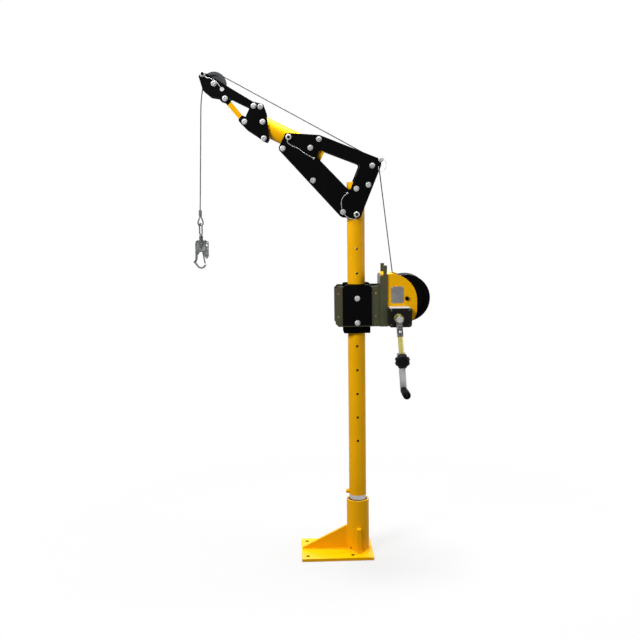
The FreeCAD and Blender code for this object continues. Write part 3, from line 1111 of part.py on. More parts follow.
def rope():
    """The rope from the boom's tip over both sheaves to the drum, its winding, and the run to the hook."""
    size = get("rope_size")
    tip = Vec(get("tip_axle_x"), 0, get("tip_axle_z"))
    rear = Vec(get("rear_axle_x"), 0, get("rear_axle_z"))
    drum = Vec(get("drum_x"), 0, get("drum_z"))
    lay = get("barrel_size") / 2 + size / 2 + get("rope_gap")
    span = rear - tip
    top = math.degrees(math.atan2(span.z, span.x)) + math.degrees(
        math.acos((get("tip_pitch") - get("rear_pitch")) / span.Length))
    fall = drum - rear
    side = math.degrees(math.atan2(fall.z, fall.x)) + math.degrees(
        math.acos((get("rear_pitch") + lay) / fall.Length))
    leaving = 180 - get("rope_set")
    over, tip_end, boom_start = wrap(tip, get("tip_pitch"), leaving, top)
    round_rear, boom_end, fall_start = wrap(rear, get("rear_pitch"), top, side)
    touch = drum - Vec(math.cos(math.radians(side)), 0, math.sin(math.radians(side))) * lay
    boom_rope = tube_on([over, Part.LineSegment(boom_start, boom_end).toShape(), round_rear,
                         Part.LineSegment(fall_start, touch).toShape()], size, get("rear_pitch"))

    turns, pitch = int(get("winding_turns")), get("winding_pitch")
    begin = math.radians(side) + math.pi

    def on_drum(quarter):
        """Point and direction on the winding, counted in quarter turns from the rope's own lane."""
        angle = begin + quarter * math.pi / 2
        point = drum + Vec(lay * math.cos(angle), -pitch * (1 + quarter / 4), lay * math.sin(angle))
        return point, Vec(-lay * math.sin(angle), -pitch / math.tau, lay * math.cos(angle)).normalize()

    edges = []
    point, along = on_drum(0)
    edges.append(Part.LineSegment(point - along * size, point).toShape())
    for quarter in range(4 * turns):
        edges += biarc(*on_drum(quarter), *on_drum(quarter + 1))
    point, along = on_drum(4 * turns)
    edges.append(Part.LineSegment(point, point + along * size).toShape())
    samples = [on_drum(step / 8)[0] for step in range(32 * turns + 1)]
    gap = min((a - b).Length for i, a in enumerate(samples) for b in samples[i + 16:i + 48]) - size
    print(f"winding: least gap to itself {gap:.2f} mm")
    winding = tube_on(edges, size, lay)

    lean = math.radians(get("rope_set"))
    down = Vec(-math.sin(lean), 0, -math.cos(lean))
    hang_start = tip_end + down * get("end_gap")
    bend = tip_end + down * get("rope_drop")
    foot = get("ferrule_top")
    hang_end = Vec(bend.x - (bend.z - foot) * math.tan(math.radians(get("hang_lean"))), 0, foot)
    hand_in(solid_feature("boom_rope", boom_rope), solid_feature("rope_winding", winding),
            solid_feature("hanging_rope", cord([hang_start, bend, hang_end], size)))
    return hang_end.x


def turned_about(shape, x, angle):
    """Turn a shape about the hook's own upright axis."""
    shape.rotate(Vec(x, 0, 0), Vec(0, 0, 1), angle)
    return shape


def bevelled(shape, size, faces):
    """A forging with its straight outline edges taken off where they lie in the faces' planes across Y."""
    edges = [edge for edge in shape.Edges if isinstance(edge.Curve, Part.Line)
             and any(all(abs(corner.Y - y) < 0.001 for corner in edge.Vertexes) for y in faces)]
    return shape.makeChamfer(size, edges)


def hook(x):
    """Ferrule, thimble loop, swivel eye, snap hook, gate, lock lever and their pins, on the upright at x."""
    ferrule_foot = get("ferrule_top") - get("ferrule_length")
    ferrule = Part.makeCylinder(get("ferrule_size") / 2, get("ferrule_length"), Vec(x, 0, ferrule_foot))
    ferrule = ferrule.makeFillet(get("ferrule_size") / 8, [edge for edge in ferrule.Edges
                                                           if isinstance(edge.Curve, Part.Circle)])
    wire, half = get("thimble_wire"), get("thimble_width") / 2 - get("thimble_wire") / 2
    low, neck = get("thimble_foot") + wire / 2, get("ferrule_size") / 2 - wire / 2 - 0.2
    loop = [Vec(x - neck, 0, ferrule_foot), Vec(x - neck, 0, ferrule_foot - wire), Vec(x - half, 0, low + half),
            Vec(x - half * 0.8, 0, low), Vec(x + half * 0.8, 0, low), Vec(x + half, 0, low + half),
            Vec(x + neck, 0, ferrule_foot - wire), Vec(x + neck, 0, ferrule_foot)]
    thimble = turned_about(cord(loop, wire), x, get("thimble_turn"))

    wire, half = get("eye_wire"), get("eye_width") / 2 - get("eye_wire") / 2
    top = low + get("thimble_wire") / 2 + wire / 2 + get("link_gap")
    foot, collar = get("eye_foot"), get("hook_top") + get("hook_play")
    ends = get("shank_size") / 4
    loop = [Vec(x - ends, 0, foot - wire), Vec(x - ends, 0, foot), Vec(x - half, 0, foot + half),
            Vec(x - half, 0, top), Vec(x + half, 0, top), Vec(x + half, 0, foot + half),
            Vec(x + ends, 0, foot), Vec(x + ends, 0, foot - wire)]
    eye = cord(loop, wire)
    flange = Part.makeCylinder(get("shank_size"), foot - collar, Vec(x, 0, collar))
    shank = Part.makeCylinder(get("shank_size") / 2, get("shank_depth") + foot - collar,
                              Vec(x, 0, collar - get("shank_depth")))
    eye = turned_about(eye.multiFuse([flange, shank]).removeSplitter(), x, get("eye_turn"))

    top, deep, play = get("hook_top"), get("hook_thickness") / 2, get("hook_play")
    body = prism([(x + dx, top + dz) for dx, dz in HOOK_OUTLINE], -deep, deep)
    socket = Part.makeCylinder(get("shank_size") / 2 + play, get("shank_depth") + play,
                               Vec(x, 0, top - get("shank_depth") - play))
    thick, pin = get("gate_thickness") / 2, get("hook_pin")
    gate_x, gate_z = x + GATE_PIVOT[0], top + GATE_PIVOT[1]
    lever_x, lever_z = x + LEVER_PIVOT[0], top + LEVER_PIVOT[1]
    slot = prism([(x + dx, top + dz) for dx, dz in GATE_SLOT], -thick - play, thick + play)
    lever_back, lever_front = -deep - play, -deep - play - get("lever_thickness")
    pin_hole = pin + 2 * get("running_gap")
    eye_x, eye_z = x + LEVER_EYE[0], top + LEVER_EYE[1]
    body = body.cut(socket).cut(slot).cut(disc(2.4 * pin, -deep, deep, eye_x, eye_z))
    pins = [disc(pin, -deep, deep, gate_x, gate_z), disc(pin, lever_front - 1, deep, lever_x, lever_z)]
    for hinge in pins:
        body = body.cut(hinge)
    body = bevelled(body, get("hook_bevel"), (-deep, deep))
    tip_x, tip_z = x + GATE_TIP[0], top + GATE_TIP[1]
    run = Vec(tip_x - gate_x, 0, tip_z - gate_z)
    side = Vec(-run.z, 0, run.x).normalize() * (get("gate_width") / 2)
    bar = prism([(gate_x + side.x, gate_z + side.z), (tip_x + side.x, tip_z + side.z),
                 (tip_x - side.x, tip_z - side.z), (gate_x - side.x, gate_z - side.z)], -thick, thick)
    gate = bar.multiFuse([disc(get("gate_width") + 3, -thick, thick, gate_x, gate_z),
                          disc(get("gate_width"), -thick, thick, tip_x, tip_z)])
    gate = gate.removeSplitter().cut(disc(pin_hole, -thick, thick, gate_x, gate_z))
    lever = prism([(x + dx, top + dz) for dx, dz in LEVER_OUTLINE], lever_front, lever_back)
    lever = lever.cut(disc(pin_hole, lever_front, lever_back, lever_x, lever_z))
    lever = lever.cut(disc(2 * pin, lever_front, lever_back, eye_x, eye_z))
    lever = bevelled(lever, get("lever_bevel"), (lever_front,))
    hand_in(solid_feature("rope_ferrule", ferrule), solid_feature("thimble", thimble),
            solid_feature("swivel_eye", eye), solid_feature("hook_body", body),
            solid_feature("hook_pins", Part.makeCompound(pins)), solid_feature("hook_gate", gate),
            solid_feature("lock_lever", lever))


def lanyards():
    """Thin wire lanyards that keep the boom pin, the mast pin and the tip keeper with their plates."""
    size, outer, inner = get("lanyard_size"), get("plate_outer"), get("plate_inner")
    grip = get("pin_button") / 2 + get("rope_gap")

    def route(y, plate, anchor, places, pin, side):
        """Cord from an anchor on the plate's face through places in front of it to a pin's button."""
        angle = math.radians(side)
        out = Vec(math.cos(angle), 0, math.sin(angle))
        head = Vec(get(pin + "_x"), y, get(pin + "_z"))
        points = [Vec(anchor[0], plate, anchor[1]), Vec(anchor[0], y, anchor[1])]
        points += [Vec(x, y, z) for x, z in places]
        return cord(points + [head + out * (grip + 5 * size), head + out * grip], size)

    bx, bz = get("boom_pin_x"), get("boom_pin_z")
    wx, wz = get("window_end_x"), get("window_end_z")
    places = [(wx - 50, wz + 14), (bx + 42, bz - 46), (bx + 16, bz - 36)]
    boom = route(-outer - 7, -outer, (wx - 12, wz - 6), places, "boom_pin", 250)
    fx, fz = get("window_base_x"), get("window_base_z")
    tx, tz = get("foot_bolt_x"), get("foot_bolt_z")
    places = [(fx - 32, fz - 26), (tx - 9, tz + 30), (tx, tz - 4), (tx + 18, tz - 24), (tx + 40, tz - 30)]
    mast_pin = route(-outer - 12, -outer, (fx - 10, fz - 8), places, "mast_pin", 255)
    ax, az = get("anchor_screw_x"), get("anchor_screw_z")
    ex, ez = get("tip_axle_x"), get("tip_axle_z")
    cap = -inner - get("hex_height") / 2
    tip = route(-inner - 14, cap, (ax, az), [(ex + 10, ez + 8), (ex - 14, ez + 20)], "tip_pin", 315)
    hand_in(solid_feature("pin_lanyards", Part.makeCompound([boom, mast_pin, tip])))

    kx, kz = get("rear_keeper_x"), get("rear_keeper_z")
    rim = get("washer_size") / 2 + size / 2 + get("rope_gap")
    places = [(rim, -2), (rim + 8, -9), (rim + 10, -24), (15, -44), (0, -52), (-10, -44), (-11, -30)]
    points = [Vec(kx + dx, -outer - size, kz + dz) for dx, dz in places]
    points.append(Vec(points[-1].x, -outer, points[-1].z))
    hand_in(solid_feature("keeper_loop", cord(points, size)))


def export():
    """Check every object and write each sub-part's STEP file."""
    settle()
    failed = [item.Name for item in doc.Objects if "Invalid" in item.State or "Error" in item.State]
    if failed:
        raise RuntimeError(f"objects failed: {failed}")
    os.makedirs("parts", exist_ok=True)
    for node in NODES:
        shape = node.Shape
        if shape.isNull() or not shape.isValid() or shape.Volume <= 0:
            raise RuntimeError(f"{node.Label} has no valid solid")
        box = shape.BoundBox
        print(f"{node.Label:22s} solids {len(shape.Solids):2d} volume {shape.Volume:12.1f}"
              f"  x {box.XMin:8.1f} {box.XMax:8.1f}  y {box.YMin:7.1f} {box.YMax:7.1f}"
              f"  z {box.ZMin:7.1f} {box.ZMax:7.1f}")
        shape.exportStep(f"parts/{node.Label}.step")


floor_base()
mast()
boom_frame()
boom_head()
fasteners()
sheave("tip_sheave", "tip_sheave_od", "head_inner", "tip_axle")
sheave("rear_sheave", "rear_sheave_od", "plate_inner", "rear_axle")
release_pins()
winch_bracket()
hand_in(winch_side("winch_side_front", -1), winch_side("winch_side_rear", 1))
drum_works()
brake_works()
crank()
hook(rope())
lanyards()
export()
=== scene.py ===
import json
import math

import bmesh
import bpy
import numpy as np
from mathutils import Matrix, Vector


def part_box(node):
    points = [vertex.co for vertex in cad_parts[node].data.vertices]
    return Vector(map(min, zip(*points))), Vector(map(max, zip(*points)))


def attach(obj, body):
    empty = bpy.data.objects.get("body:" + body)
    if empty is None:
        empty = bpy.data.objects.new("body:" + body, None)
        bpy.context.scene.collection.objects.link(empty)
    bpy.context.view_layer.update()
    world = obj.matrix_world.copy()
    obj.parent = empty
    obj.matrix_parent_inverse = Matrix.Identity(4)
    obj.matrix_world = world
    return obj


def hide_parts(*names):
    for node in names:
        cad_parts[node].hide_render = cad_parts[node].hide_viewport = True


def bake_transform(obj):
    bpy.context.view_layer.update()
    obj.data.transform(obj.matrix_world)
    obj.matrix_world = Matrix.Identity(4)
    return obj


bl_info = {
    "name": "Davit crane",
    "version": (1, 0, 0),
    "blender": (4, 5, 0),
    "location": "3D View > Sidebar > Davit crane",
    "description": "Finishes, ropes, welds and small trim over the packed frame of a davit crane",
    "category": "Object",
}

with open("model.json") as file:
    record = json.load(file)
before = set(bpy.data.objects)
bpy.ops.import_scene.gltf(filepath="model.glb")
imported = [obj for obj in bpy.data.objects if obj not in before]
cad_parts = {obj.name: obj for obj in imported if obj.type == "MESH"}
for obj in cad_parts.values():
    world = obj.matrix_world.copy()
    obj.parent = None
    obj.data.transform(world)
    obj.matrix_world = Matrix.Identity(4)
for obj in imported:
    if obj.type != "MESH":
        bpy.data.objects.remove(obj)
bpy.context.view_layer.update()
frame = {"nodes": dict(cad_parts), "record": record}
NODES = frame["nodes"]
SLOT_OF = {row["node"]: row["material_slot"] for row in frame["record"]["subparts"]}
MM = 0.001

# Places are in mm, in the XZ plane. The boom rises from the mast's axis.
BOOM_FOOT = 1630.6
BOOM_RISE = math.radians(26)


def boom_point(along, rise):
    """Place in the XZ plane, in mm, of a point given along the boom from its foot and square to it."""
    c, s = math.cos(BOOM_RISE), math.sin(BOOM_RISE)
    return np.array([-along * c + rise * s, BOOM_FOOT + along * s + rise * c])


TIP_ALONG, TIP_RISE = 658.3, 63.2
TIP_AXLE = np.round(boom_point(TIP_ALONG, TIP_RISE), 2)
REAR_AXLE = np.array([65.0, 1647.0])
REAR_KEEPER = np.array([100.65, 1671.05])
DRUM_AXIS = np.array([205.0, 1105.0])
TIP_PITCH, REAR_PITCH, DRUM_PITCH = 44.2, 30.7, 41.5
ROPE_LEAVES_TIP = 170.0
FERRULE_TOP = 1476.6
CRANK_LEAN = math.radians(3.93)

# Width of the camera's frame, in mm.
SENSOR_WIDTH = 36.0
# The turned trim faces the front.
FRONT = (0, -1, 0)
# Edge angle, in degrees, for ropes and weld beads, which are round nearly everywhere.
ROUND_EDGE = 60


def a_length(name, description, default):
    """A length that can be set in the panel."""
    return bpy.props.FloatProperty(name=name, description=description, default=default, unit="LENGTH")


def a_colour(name, description, default):
    """A colour that can be set in the panel."""
    return bpy.props.FloatVectorProperty(name=name, description=description, size=3, subtype="COLOR", default=default)


def an_angle(name, description, degrees):
    """An angle that can be set in the panel, given in degrees."""
    return bpy.props.FloatProperty(name=name, description=description, subtype="ANGLE", default=math.radians(degrees))


class CraneSizes(bpy.types.PropertyGroup):
    """Sizes of the ropes, welds and trim."""

    rope_diameter: a_length("Rope diameter", "Across the strands of the wire rope", 4.8 * MM)
    rope_strands: bpy.props.IntProperty(
        name="Rope strands", description="Outer strands of the wire rope", default=6, min=3, max=9)
    rope_lay: a_length("Rope lay", "Length of one full turn of a strand", 31 * MM)
    wire_diameter: a_length("Lanyard diameter", "Across the strands of a pin's lanyard", 2.0 * MM)
    wire_lay: a_length("Lanyard lay", "Length of one full turn of a lanyard's strand", 14 * MM)
    weld_radius: a_length("Weld radius", "Half the width of a weld bead", 3.4 * MM)
    weld_ripple: a_length("Weld ripple", "Distance from one ripple of a weld to the next", 3.2 * MM)
    plate_width: a_length("Winch plate width", "Width of the bare plate on the winch", 53 * MM)
    plate_height: a_length("Winch plate height", "Height of the bare plate on the winch", 69 * MM)
    button_radius: a_length("Pin button radius", "Radius of the push button in a pin's head", 6.2 * MM)


class CraneColours(bpy.types.PropertyGroup):
    """Colours of the finishes."""

    yellow: a_colour("Yellow coat", "Safety-yellow powder coat", (0.82, 0.40, 0.0))
    black: a_colour("Black coat", "Satin black powder coat", (0.0022, 0.0022, 0.0024))
    olive: a_colour("Olive chromate", "Olive chromate over zinc", (0.050, 0.055, 0.025))
    zinc: a_colour("Bright zinc", "Bright zinc plating", (0.50, 0.505, 0.515))
    steel: a_colour("Machined steel", "Lightly oiled machined steel", (0.42, 0.42, 0.43))
    gold: a_colour("Yellow chromate", "Yellow chromate over zinc", (0.56, 0.50, 0.14))
    rope: a_colour("Rope wire", "Galvanised rope wire", (0.125, 0.125, 0.135))
    lanyard: a_colour("Lanyard wire", "Clear-coated lanyard wire", (0.62, 0.63, 0.65))
    bronze: a_colour("Bronze", "Sintered bronze of the bushes", (0.40, 0.22, 0.08))
    plastic: a_colour("Black plastic", "Grained black plastic", (0.005, 0.005, 0.0055))
    nylon: a_colour("Grey nylon", "Dark grey turned nylon", (0.024, 0.025, 0.027))
    hook: a_colour("Hook plating", "Dull grey plating on the forged hook", (0.19, 0.193, 0.198))
    plate: a_colour("Bare plate", "Brushed aluminium of the bare plate", (0.19, 0.185, 0.185))


class CraneStage(bpy.types.PropertyGroup):
    """Camera and light."""

    camera_place: bpy.props.FloatVectorProperty(
        name="Camera place", description="Where the camera stands", size=3, subtype="TRANSLATION", unit="LENGTH",
        default=(-0.280, -3.800, 1.581))
    camera_turn: an_angle("Camera turn", "Turn of the view to the right", 1.92)
    camera_dip: an_angle("Camera dip", "Dip of the view below level", 8.49)
    camera_roll: an_angle("Camera roll", "Roll of the view", -0.75)
    lens: bpy.props.FloatProperty(
        name="Lens", description="Focal length on a 36 mm square frame, in mm", default=51.75)
    sky_level: bpy.props.FloatProperty(
        name="Surround light", description="Strength of the white surround on the object", default=0.20)


# Shapes


def grid_mesh(points):
    """Closed mesh over a grid of points, rows by columns: each quad joins neighbours of a row with those of the next.

    The last column is joined to the first, and a face closes each end row.
    """
    rows, columns = points.shape[:2]
    i, j = np.meshgrid(np.arange(rows - 1), np.arange(columns), indexing="ij")
    after, beside = i + 1, (j + 1) % columns
    quads = np.stack([i * columns + j, after * columns + j, after * columns + beside, i * columns + beside], axis=-1)
    ends = [list(range(columns))[::-1], list(range((rows - 1) * columns, rows * columns))]
    mesh = bpy.data.meshes.new("surface")
    mesh.from_pydata(points.reshape(-1, 3).tolist(), [], quads.reshape(-1, 4).tolist() + ends)
    return mesh


def outward(mesh):
    """Turns a closed mesh's faces to point outwards."""
    work = bmesh.new()
    work.from_mesh(mesh)
    bmesh.ops.recalc_face_normals(work, faces=work.faces)
    work.to_mesh(mesh)
    work.free()


def join_meshes(meshes):
    """One mesh that holds all of the given ones, side by side."""
    work = bmesh.new()
    for mesh in meshes:
        work.from_mesh(mesh)
        bpy.data.meshes.remove(mesh)
    joined = bpy.data.meshes.new("joined")
    work.to_mesh(joined)
    work.free()
    return joined


def piece(name, mesh, finish, body=None, edge=35):
    """Object for a finished mesh, smooth but for edges sharper than edge degrees, riding on a body if one is named."""
    mesh.name = name
    outward(mesh)
    mesh.shade_smooth()
    mesh.set_sharp_from_angle(angle=math.radians(edge))
    mesh.materials.append(finish_for(finish))
    made = bpy.data.objects.new(name, mesh)
    bpy.context.scene.collection.objects.link(made)
    if body:
        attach(made, body)
    return made


def smooth_line(points, fineness=12):
    """Points of a cord's smooth line: a quadratic spline with the route's points, in metres, as its control points."""
    curve = bpy.data.curves.new("route", "CURVE")
    curve.dimensions = "3D"
    curve.resolution_u = fineness
    spline = curve.splines.new("NURBS")
    spline.points.add(len(points) - 1)
    spline.points.foreach_set("co", np.column_stack([points, np.ones(len(points))]).ravel())
    spline.order_u = 3
    spline.use_endpoint_u = True
    holder = bpy.data.objects.new("route", curve)
    mesh = bpy.data.meshes.new_from_object(holder)
    line = np.empty(3 * len(mesh.vertices))
    mesh.vertices.foreach_get("co", line)
    bpy.data.objects.remove(holder)
    bpy.data.curves.remove(curve)
    bpy.data.meshes.remove(mesh)
    return line.reshape(-1, 3)


def unit(vector):
    """A vector's direction."""
    return vector / np.linalg.norm(vector)


def line_lengths(line):
    """Distance along a line from its first point to each of its points."""
    return np.concatenate([[0.0], np.cumsum(np.linalg.norm(np.diff(line, axis=0), axis=1))])


def even_steps(line, step):
    """The same line with its points about one step apart."""
    lengths = line_lengths(line)
    places = np.linspace(0.0, lengths[-1], max(3, int(round(lengths[-1] / step)) + 1))
    return np.column_stack([np.interp(places, lengths, line[:, axis]) for axis in range(3)])


def carried_frames(line):
    """Two directions square to a line at each of its points, carried along it with no twist of their own."""
    tangent = np.gradient(line, axis=0)
    tangent /= np.linalg.norm(tangent, axis=1)[:, None]
    side = np.empty_like(line)
    askew = [0.3, 0.9, 0.2]
    last = np.cross(tangent[0], askew)
    for ring, along in enumerate(tangent):
        last = unit(last - along * np.dot(last, along))
        side[ring] = last
    return side, np.cross(tangent, side)


def swept(line, radii, angles):
    """Closed tube along a line: at each of its points a ring whose radii, one per angle, are given by row."""
    side, lift = carried_frames(line)
    across, up = radii * np.cos(angles), radii * np.sin(angles)
    ring = across[:, :, None] * side[:, None, :] + up[:, :, None] * lift[:, None, :]
    return grid_mesh(line[:, None, :] + ring)


def stranded(line, diameter, strands, lay, per_strand=6, step=1.6 * MM):
    """Rope surface: the outline of round strands laid side by side in a ring, turned once for each lay along the line.

    With d the diameter over the strands, a strand's outline at the angle a from its middle lies at
    c cos a + sqrt(q^2 - c^2 sin^2 a), where c is the ring's radius and q the strand's, and c + q is d / 2.
    """
    line = even_steps(line, step)
    half = math.pi / strands
    ring = diameter / 2 / (1 + math.sin(half))
    strand = diameter / 2 - ring
    local = np.linspace(-half, half, per_strand, endpoint=False)
    inside = np.maximum(strand ** 2 - (ring * np.sin(local)) ** 2, 0.0)
    outline = np.tile(ring * np.cos(local) + np.sqrt(inside), strands)
    angles = (np.arange(strands)[:, None] * 2 * half + local).ravel()
    along = line_lengths(line)
    laid = angles[None, :] + 2 * math.pi * along[:, None] / lay
    mesh = swept(line, np.broadcast_to(outline, laid.shape), laid)
    add_lay_map(mesh, len(angles), along)
    return mesh, line


def add_lay_map(mesh, columns, along):
    """Map on a rope's surface: once round it across, and centimetres along it upwards."""
    indices = np.empty(len(mesh.loops), dtype=np.int64)
    mesh.loops.foreach_get("vertex_index", indices)
    across = (indices % columns) / columns
    up = along[indices // columns] / (10 * MM)
    layer = mesh.uv_layers.new(name="lay")
    layer.data.foreach_set("uv", np.column_stack([across, up]).ravel())


def beaded(line, radius, ripple):
    """Weld bead along a line: a tube whose radius swells and falls with each ripple and tapers off at both ends."""
    line = even_steps(line, ripple / 4)
    along = line_lengths(line)
    angles = np.linspace(0, 2 * math.pi, 12, endpoint=False)
    ripple_depth, drift_depth, drift_rate, end_size = 0.10, 0.05, 0.63, 0.35
    rippled = ripple_depth * np.abs(np.sin(math.pi * along / ripple))
    swell = 1 + rippled + drift_depth * np.sin(along / ripple * drift_rate)
    taper = np.clip(np.minimum(along, along[-1] - along) / (2 * radius) + end_size, 0, 1)
    radii = (radius * swell * taper)[:, None] * np.ones_like(angles)[None, :]
    return swept(line, radii, np.broadcast_to(angles, radii.shape))


def turned(profile, centre, segments=40):
    """Solid of revolution: distances to the front and radii, carried once round an axis to the front through centre."""
    axis = np.array(FRONT, float)
    askew = [0.31, 0.17, 0.94]
    side = unit(np.cross(axis, askew))
    lift = np.cross(axis, side)
    angle = np.linspace(0, 2 * math.pi, segments, endpoint=False)
    spoke = np.cos(angle)[:, None] * side + np.sin(angle)[:, None] * lift
    points = np.asarray(centre) + profile[:, 0][:, None, None] * axis + profile[:, 1][:, None, None] * spoke[None]
    return grid_mesh(points)


def rounded_outline(half_width, half_height, radius, per_corner=6):
    """Outline of a rectangle with round corners: a quarter circle about each corner's own centre."""
    quarter = np.linspace(0, math.pi / 2, per_corner)
    turns = (np.arange(4)[:, None] * math.pi / 2 + quarter).ravel()
    signs = np.repeat([[1, 1], [-1, 1], [-1, -1], [1, -1]], per_corner, axis=0)
    arcs = radius * np.column_stack([np.cos(turns), np.sin(turns)])
    return signs * [half_width - radius, half_height - radius] + arcs


def metres(points, y):
    """Points of the XZ plane, in mm, as places in metres at one y or a y each, also in mm."""
    points = np.atleast_2d(np.asarray(points, float))
    return np.column_stack([points[:, 0], np.broadcast_to(y, len(points)), points[:, 1]]) * MM


# Finishes


class Nodes:
    """A tree of shader nodes and short ways to add to it."""

    def __init__(self, tree):
        self.tree = tree

    def add(self, kind, **inputs):
        """Adds a node and sets or links its inputs by name, with _ for a space."""
        node = self.tree.nodes.new(kind)
        for name, value in inputs.items():
            self.feed(node.inputs[name.replace("_", " ")], value)
        return node

    def feed(self, socket, value):
        """Links an output to a socket, or sets the socket's value."""
        if isinstance(value, bpy.types.NodeSocket):
            self.tree.links.new(value, socket)
        else:
            socket.default_value = value

    def spread(self, value, low, high, least, most):
        """Value from least to most as the input goes from low to high."""
        made = self.add("ShaderNodeMapRange", Value=value, From_Min=low, From_Max=high, To_Min=least, To_Max=most)
        return made.outputs["Result"]

    def maths(self, operation, first, second=0.0):
        """One sum on two values."""
        node = self.tree.nodes.new("ShaderNodeMath")
        node.operation = operation
        self.feed(node.inputs[0], first)
        self.feed(node.inputs[1], second)
        return node.outputs[0]

    def white_to_the_eye(self):
        """1 for rays that the camera, a reflection or a clear body sends, and 0 for the rest."""
        path = self.add("ShaderNodeLightPath")
        seen = path.outputs["Is Camera Ray"]
        for other in ("Is Glossy Ray", "Is Transmission Ray"):
            seen = self.maths("MAXIMUM", seen, path.outputs[other])
        return seen


class Finish(Nodes):
    """A material being made: its shader and the texture nodes that the finishes share."""

    def __init__(self, name, roughness, metallic=0.0, specular=0.5):
        self.material = bpy.data.materials.new(f"crane_{name}")
        self.material.use_nodes = True
        super().__init__(self.material.node_tree)
        self.shader = self.tree.nodes["Principled BSDF"]
        self.set_shader({"Roughness": roughness, "Metallic": metallic, "Specular IOR Level": specular})
        self.place = self.add("ShaderNodeTexCoord").outputs["Object"]

    def noise(self, scale, detail, stretch=(1, 1, 1), distortion=0.0):
        """Noise over the object's own coordinates, with scale in cells to the metre."""
        mapped = self.add("ShaderNodeMapping", Vector=self.place, Scale=stretch).outputs["Vector"]
        made = self.add("ShaderNodeTexNoise", Vector=mapped, Scale=scale, Detail=detail, Distortion=distortion)
        return made.outputs["Fac"]

    def clouds(self, scale, detail, least=0.0, most=1.0, stretch=(1, 1, 1)):
        """Noise's middle range, spread from least to most."""
        return self.spread(self.noise(scale, detail, stretch), 0.3, 0.7, least, most)

    def cells(self, scale):
        """Patches of one brightness each, with scale in patches to the metre."""
        made = self.add("ShaderNodeTexVoronoi", Vector=self.place, Scale=scale)
        return self.add("ShaderNodeSeparateColor", Color=made.outputs["Color"]).outputs[0]

    def axis(self, name):
        """One of the object's own coordinates, in metres."""
        return self.add("ShaderNodeSeparateXYZ", Vector=self.place).outputs[name]

    def between(self, value, low, high):
        """1 where a value lies from low to high, and 0 elsewhere."""
        above = self.maths("GREATER_THAN", value, low)
        return self.maths("MULTIPLY", above, self.maths("LESS_THAN", value, high))

    def banded(self, tone, band):
        """The tone with a second colour over a band: its colour, a direction, and the band's start and end along it."""
        second, along, low, high = band
        run = self.add("ShaderNodeVectorMath", Vector=self.place)
        run.operation = "DOT_PRODUCT"
        run.inputs[1].default_value = along
        return self.mix(self.between(run.outputs["Value"], low, high), tone, second)

    def mix(self, share, first, second):
        """Colour that goes from first to second by share."""
        node = self.tree.nodes.new("ShaderNodeMix")
        node.data_type = "RGBA"
        self.feed(node.inputs[0], share)
        for socket, colour in zip(node.inputs[6:8], (first, second)):
            self.feed(socket, colour if isinstance(colour, bpy.types.NodeSocket) else (*colour, 1.0))
        return node.outputs[2]

    def bump(self, height, depth, under=None):
        """Bump of a height from 0 to 1 over a depth in metres, on top of another one if given."""
        node = self.add("ShaderNodeBump", Height=height, Strength=1.0, Distance=depth)
        if under:
            self.feed(node.inputs["Normal"], under)
        return node.outputs["Normal"]

    def set_shader(self, inputs):
        """Sets or links the shader's inputs by name."""
        for name, value in inputs.items():
            self.feed(self.shader.inputs[name], value)

    def end(self, colour, roughness, normal):
        """Links what was made to the shader and gives the material."""
        self.set_shader({"Base Color": colour, "Roughness": roughness, "Normal": normal})
        return self.material


def shade(colour, factor):
    """A colour made darker or lighter."""
    return tuple(min(1.0, part * factor) for part in colour)


def powder_coat(name, colour, gloss, specular, worn, band=None, holes=None):
    """Powder coat: orange peel, slow changes of tone, faint rubbed patches, a second colour over a band if given.

    Holes are the middle of a set of four, half their spacings and their radius, and they get painted shade: the place
    is folded over the middle lines, and it is painted nearly black where it lies within the radius of the one hole
    left. With three numbers instead of two in the middle and the spacings, the shaded place is a ball instead of a
    cylinder.
    """
    made = Finish(name, gloss, specular=specular)
    tone = made.mix(made.clouds(5.0, 3.0), shade(colour, 0.90), shade(colour, 1.04))
    if band:
        tone = made.banded(tone, band)
    rubbed = made.spread(made.noise(38.0, 5.0, (1, 1, 0.35), 0.8), 0.62, 0.72, 0.0, 0.35)
    tone = made.mix(rubbed, tone, worn)
    # Painted shade: inside a hole or bore the coat is coloured nearly black.
    if holes:
        middle, halves, radius = holes
        squares = 0.0
        for axis, centre, half in zip("XYZ", middle, halves):
            folded = made.maths("ABSOLUTE", made.maths("SUBTRACT", made.axis(axis), centre))
            apart = made.maths("SUBTRACT", folded, half)
            squares = made.maths("ADD", made.maths("MULTIPLY", apart, apart), squares)
        inside = made.maths("LESS_THAN", made.maths("SQRT", squares), radius)
        tone = made.mix(inside, tone, shade(colour, 0.03))
    rough = made.clouds(21.0, 4.0, gloss - 0.06, gloss + 0.08)
    peel = made.bump(made.noise(420.0, 1.0), 0.00010)
    return made.end(tone, rough, made.bump(made.noise(1800.0, 1.0), 0.00002, peel))


def plated_steel(name, colour, tint, gloss, patches, metallic, band=None):
    """Plated steel: crystal patches of slightly different tone, a second tint in clouds, and fine rubbing marks.

    Over a band, if one is given, it has the band's colour.
    """
    made = Finish(name, gloss, metallic=metallic)
    crystals = made.spread(made.cells(patches), 0.0, 1.0, 0.0, 0.55)
    tone = made.mix(crystals, shade(colour, 1.08), shade(colour, 0.80))
    clouds = made.spread(made.noise(26.0, 4.0, distortion=0.6), 0.42, 0.68, 0.0, 0.75)
    tone = made.mix(clouds, tone, tint)
    if band:
        tone = made.banded(tone, band)
    rough = made.clouds(90.0, 5.0, gloss - 0.07, gloss + 0.12, (1, 1, 6))
    return made.end(tone, rough, made.bump(made.noise(650.0, 3.0, (1, 1, 4)), 0.00003))


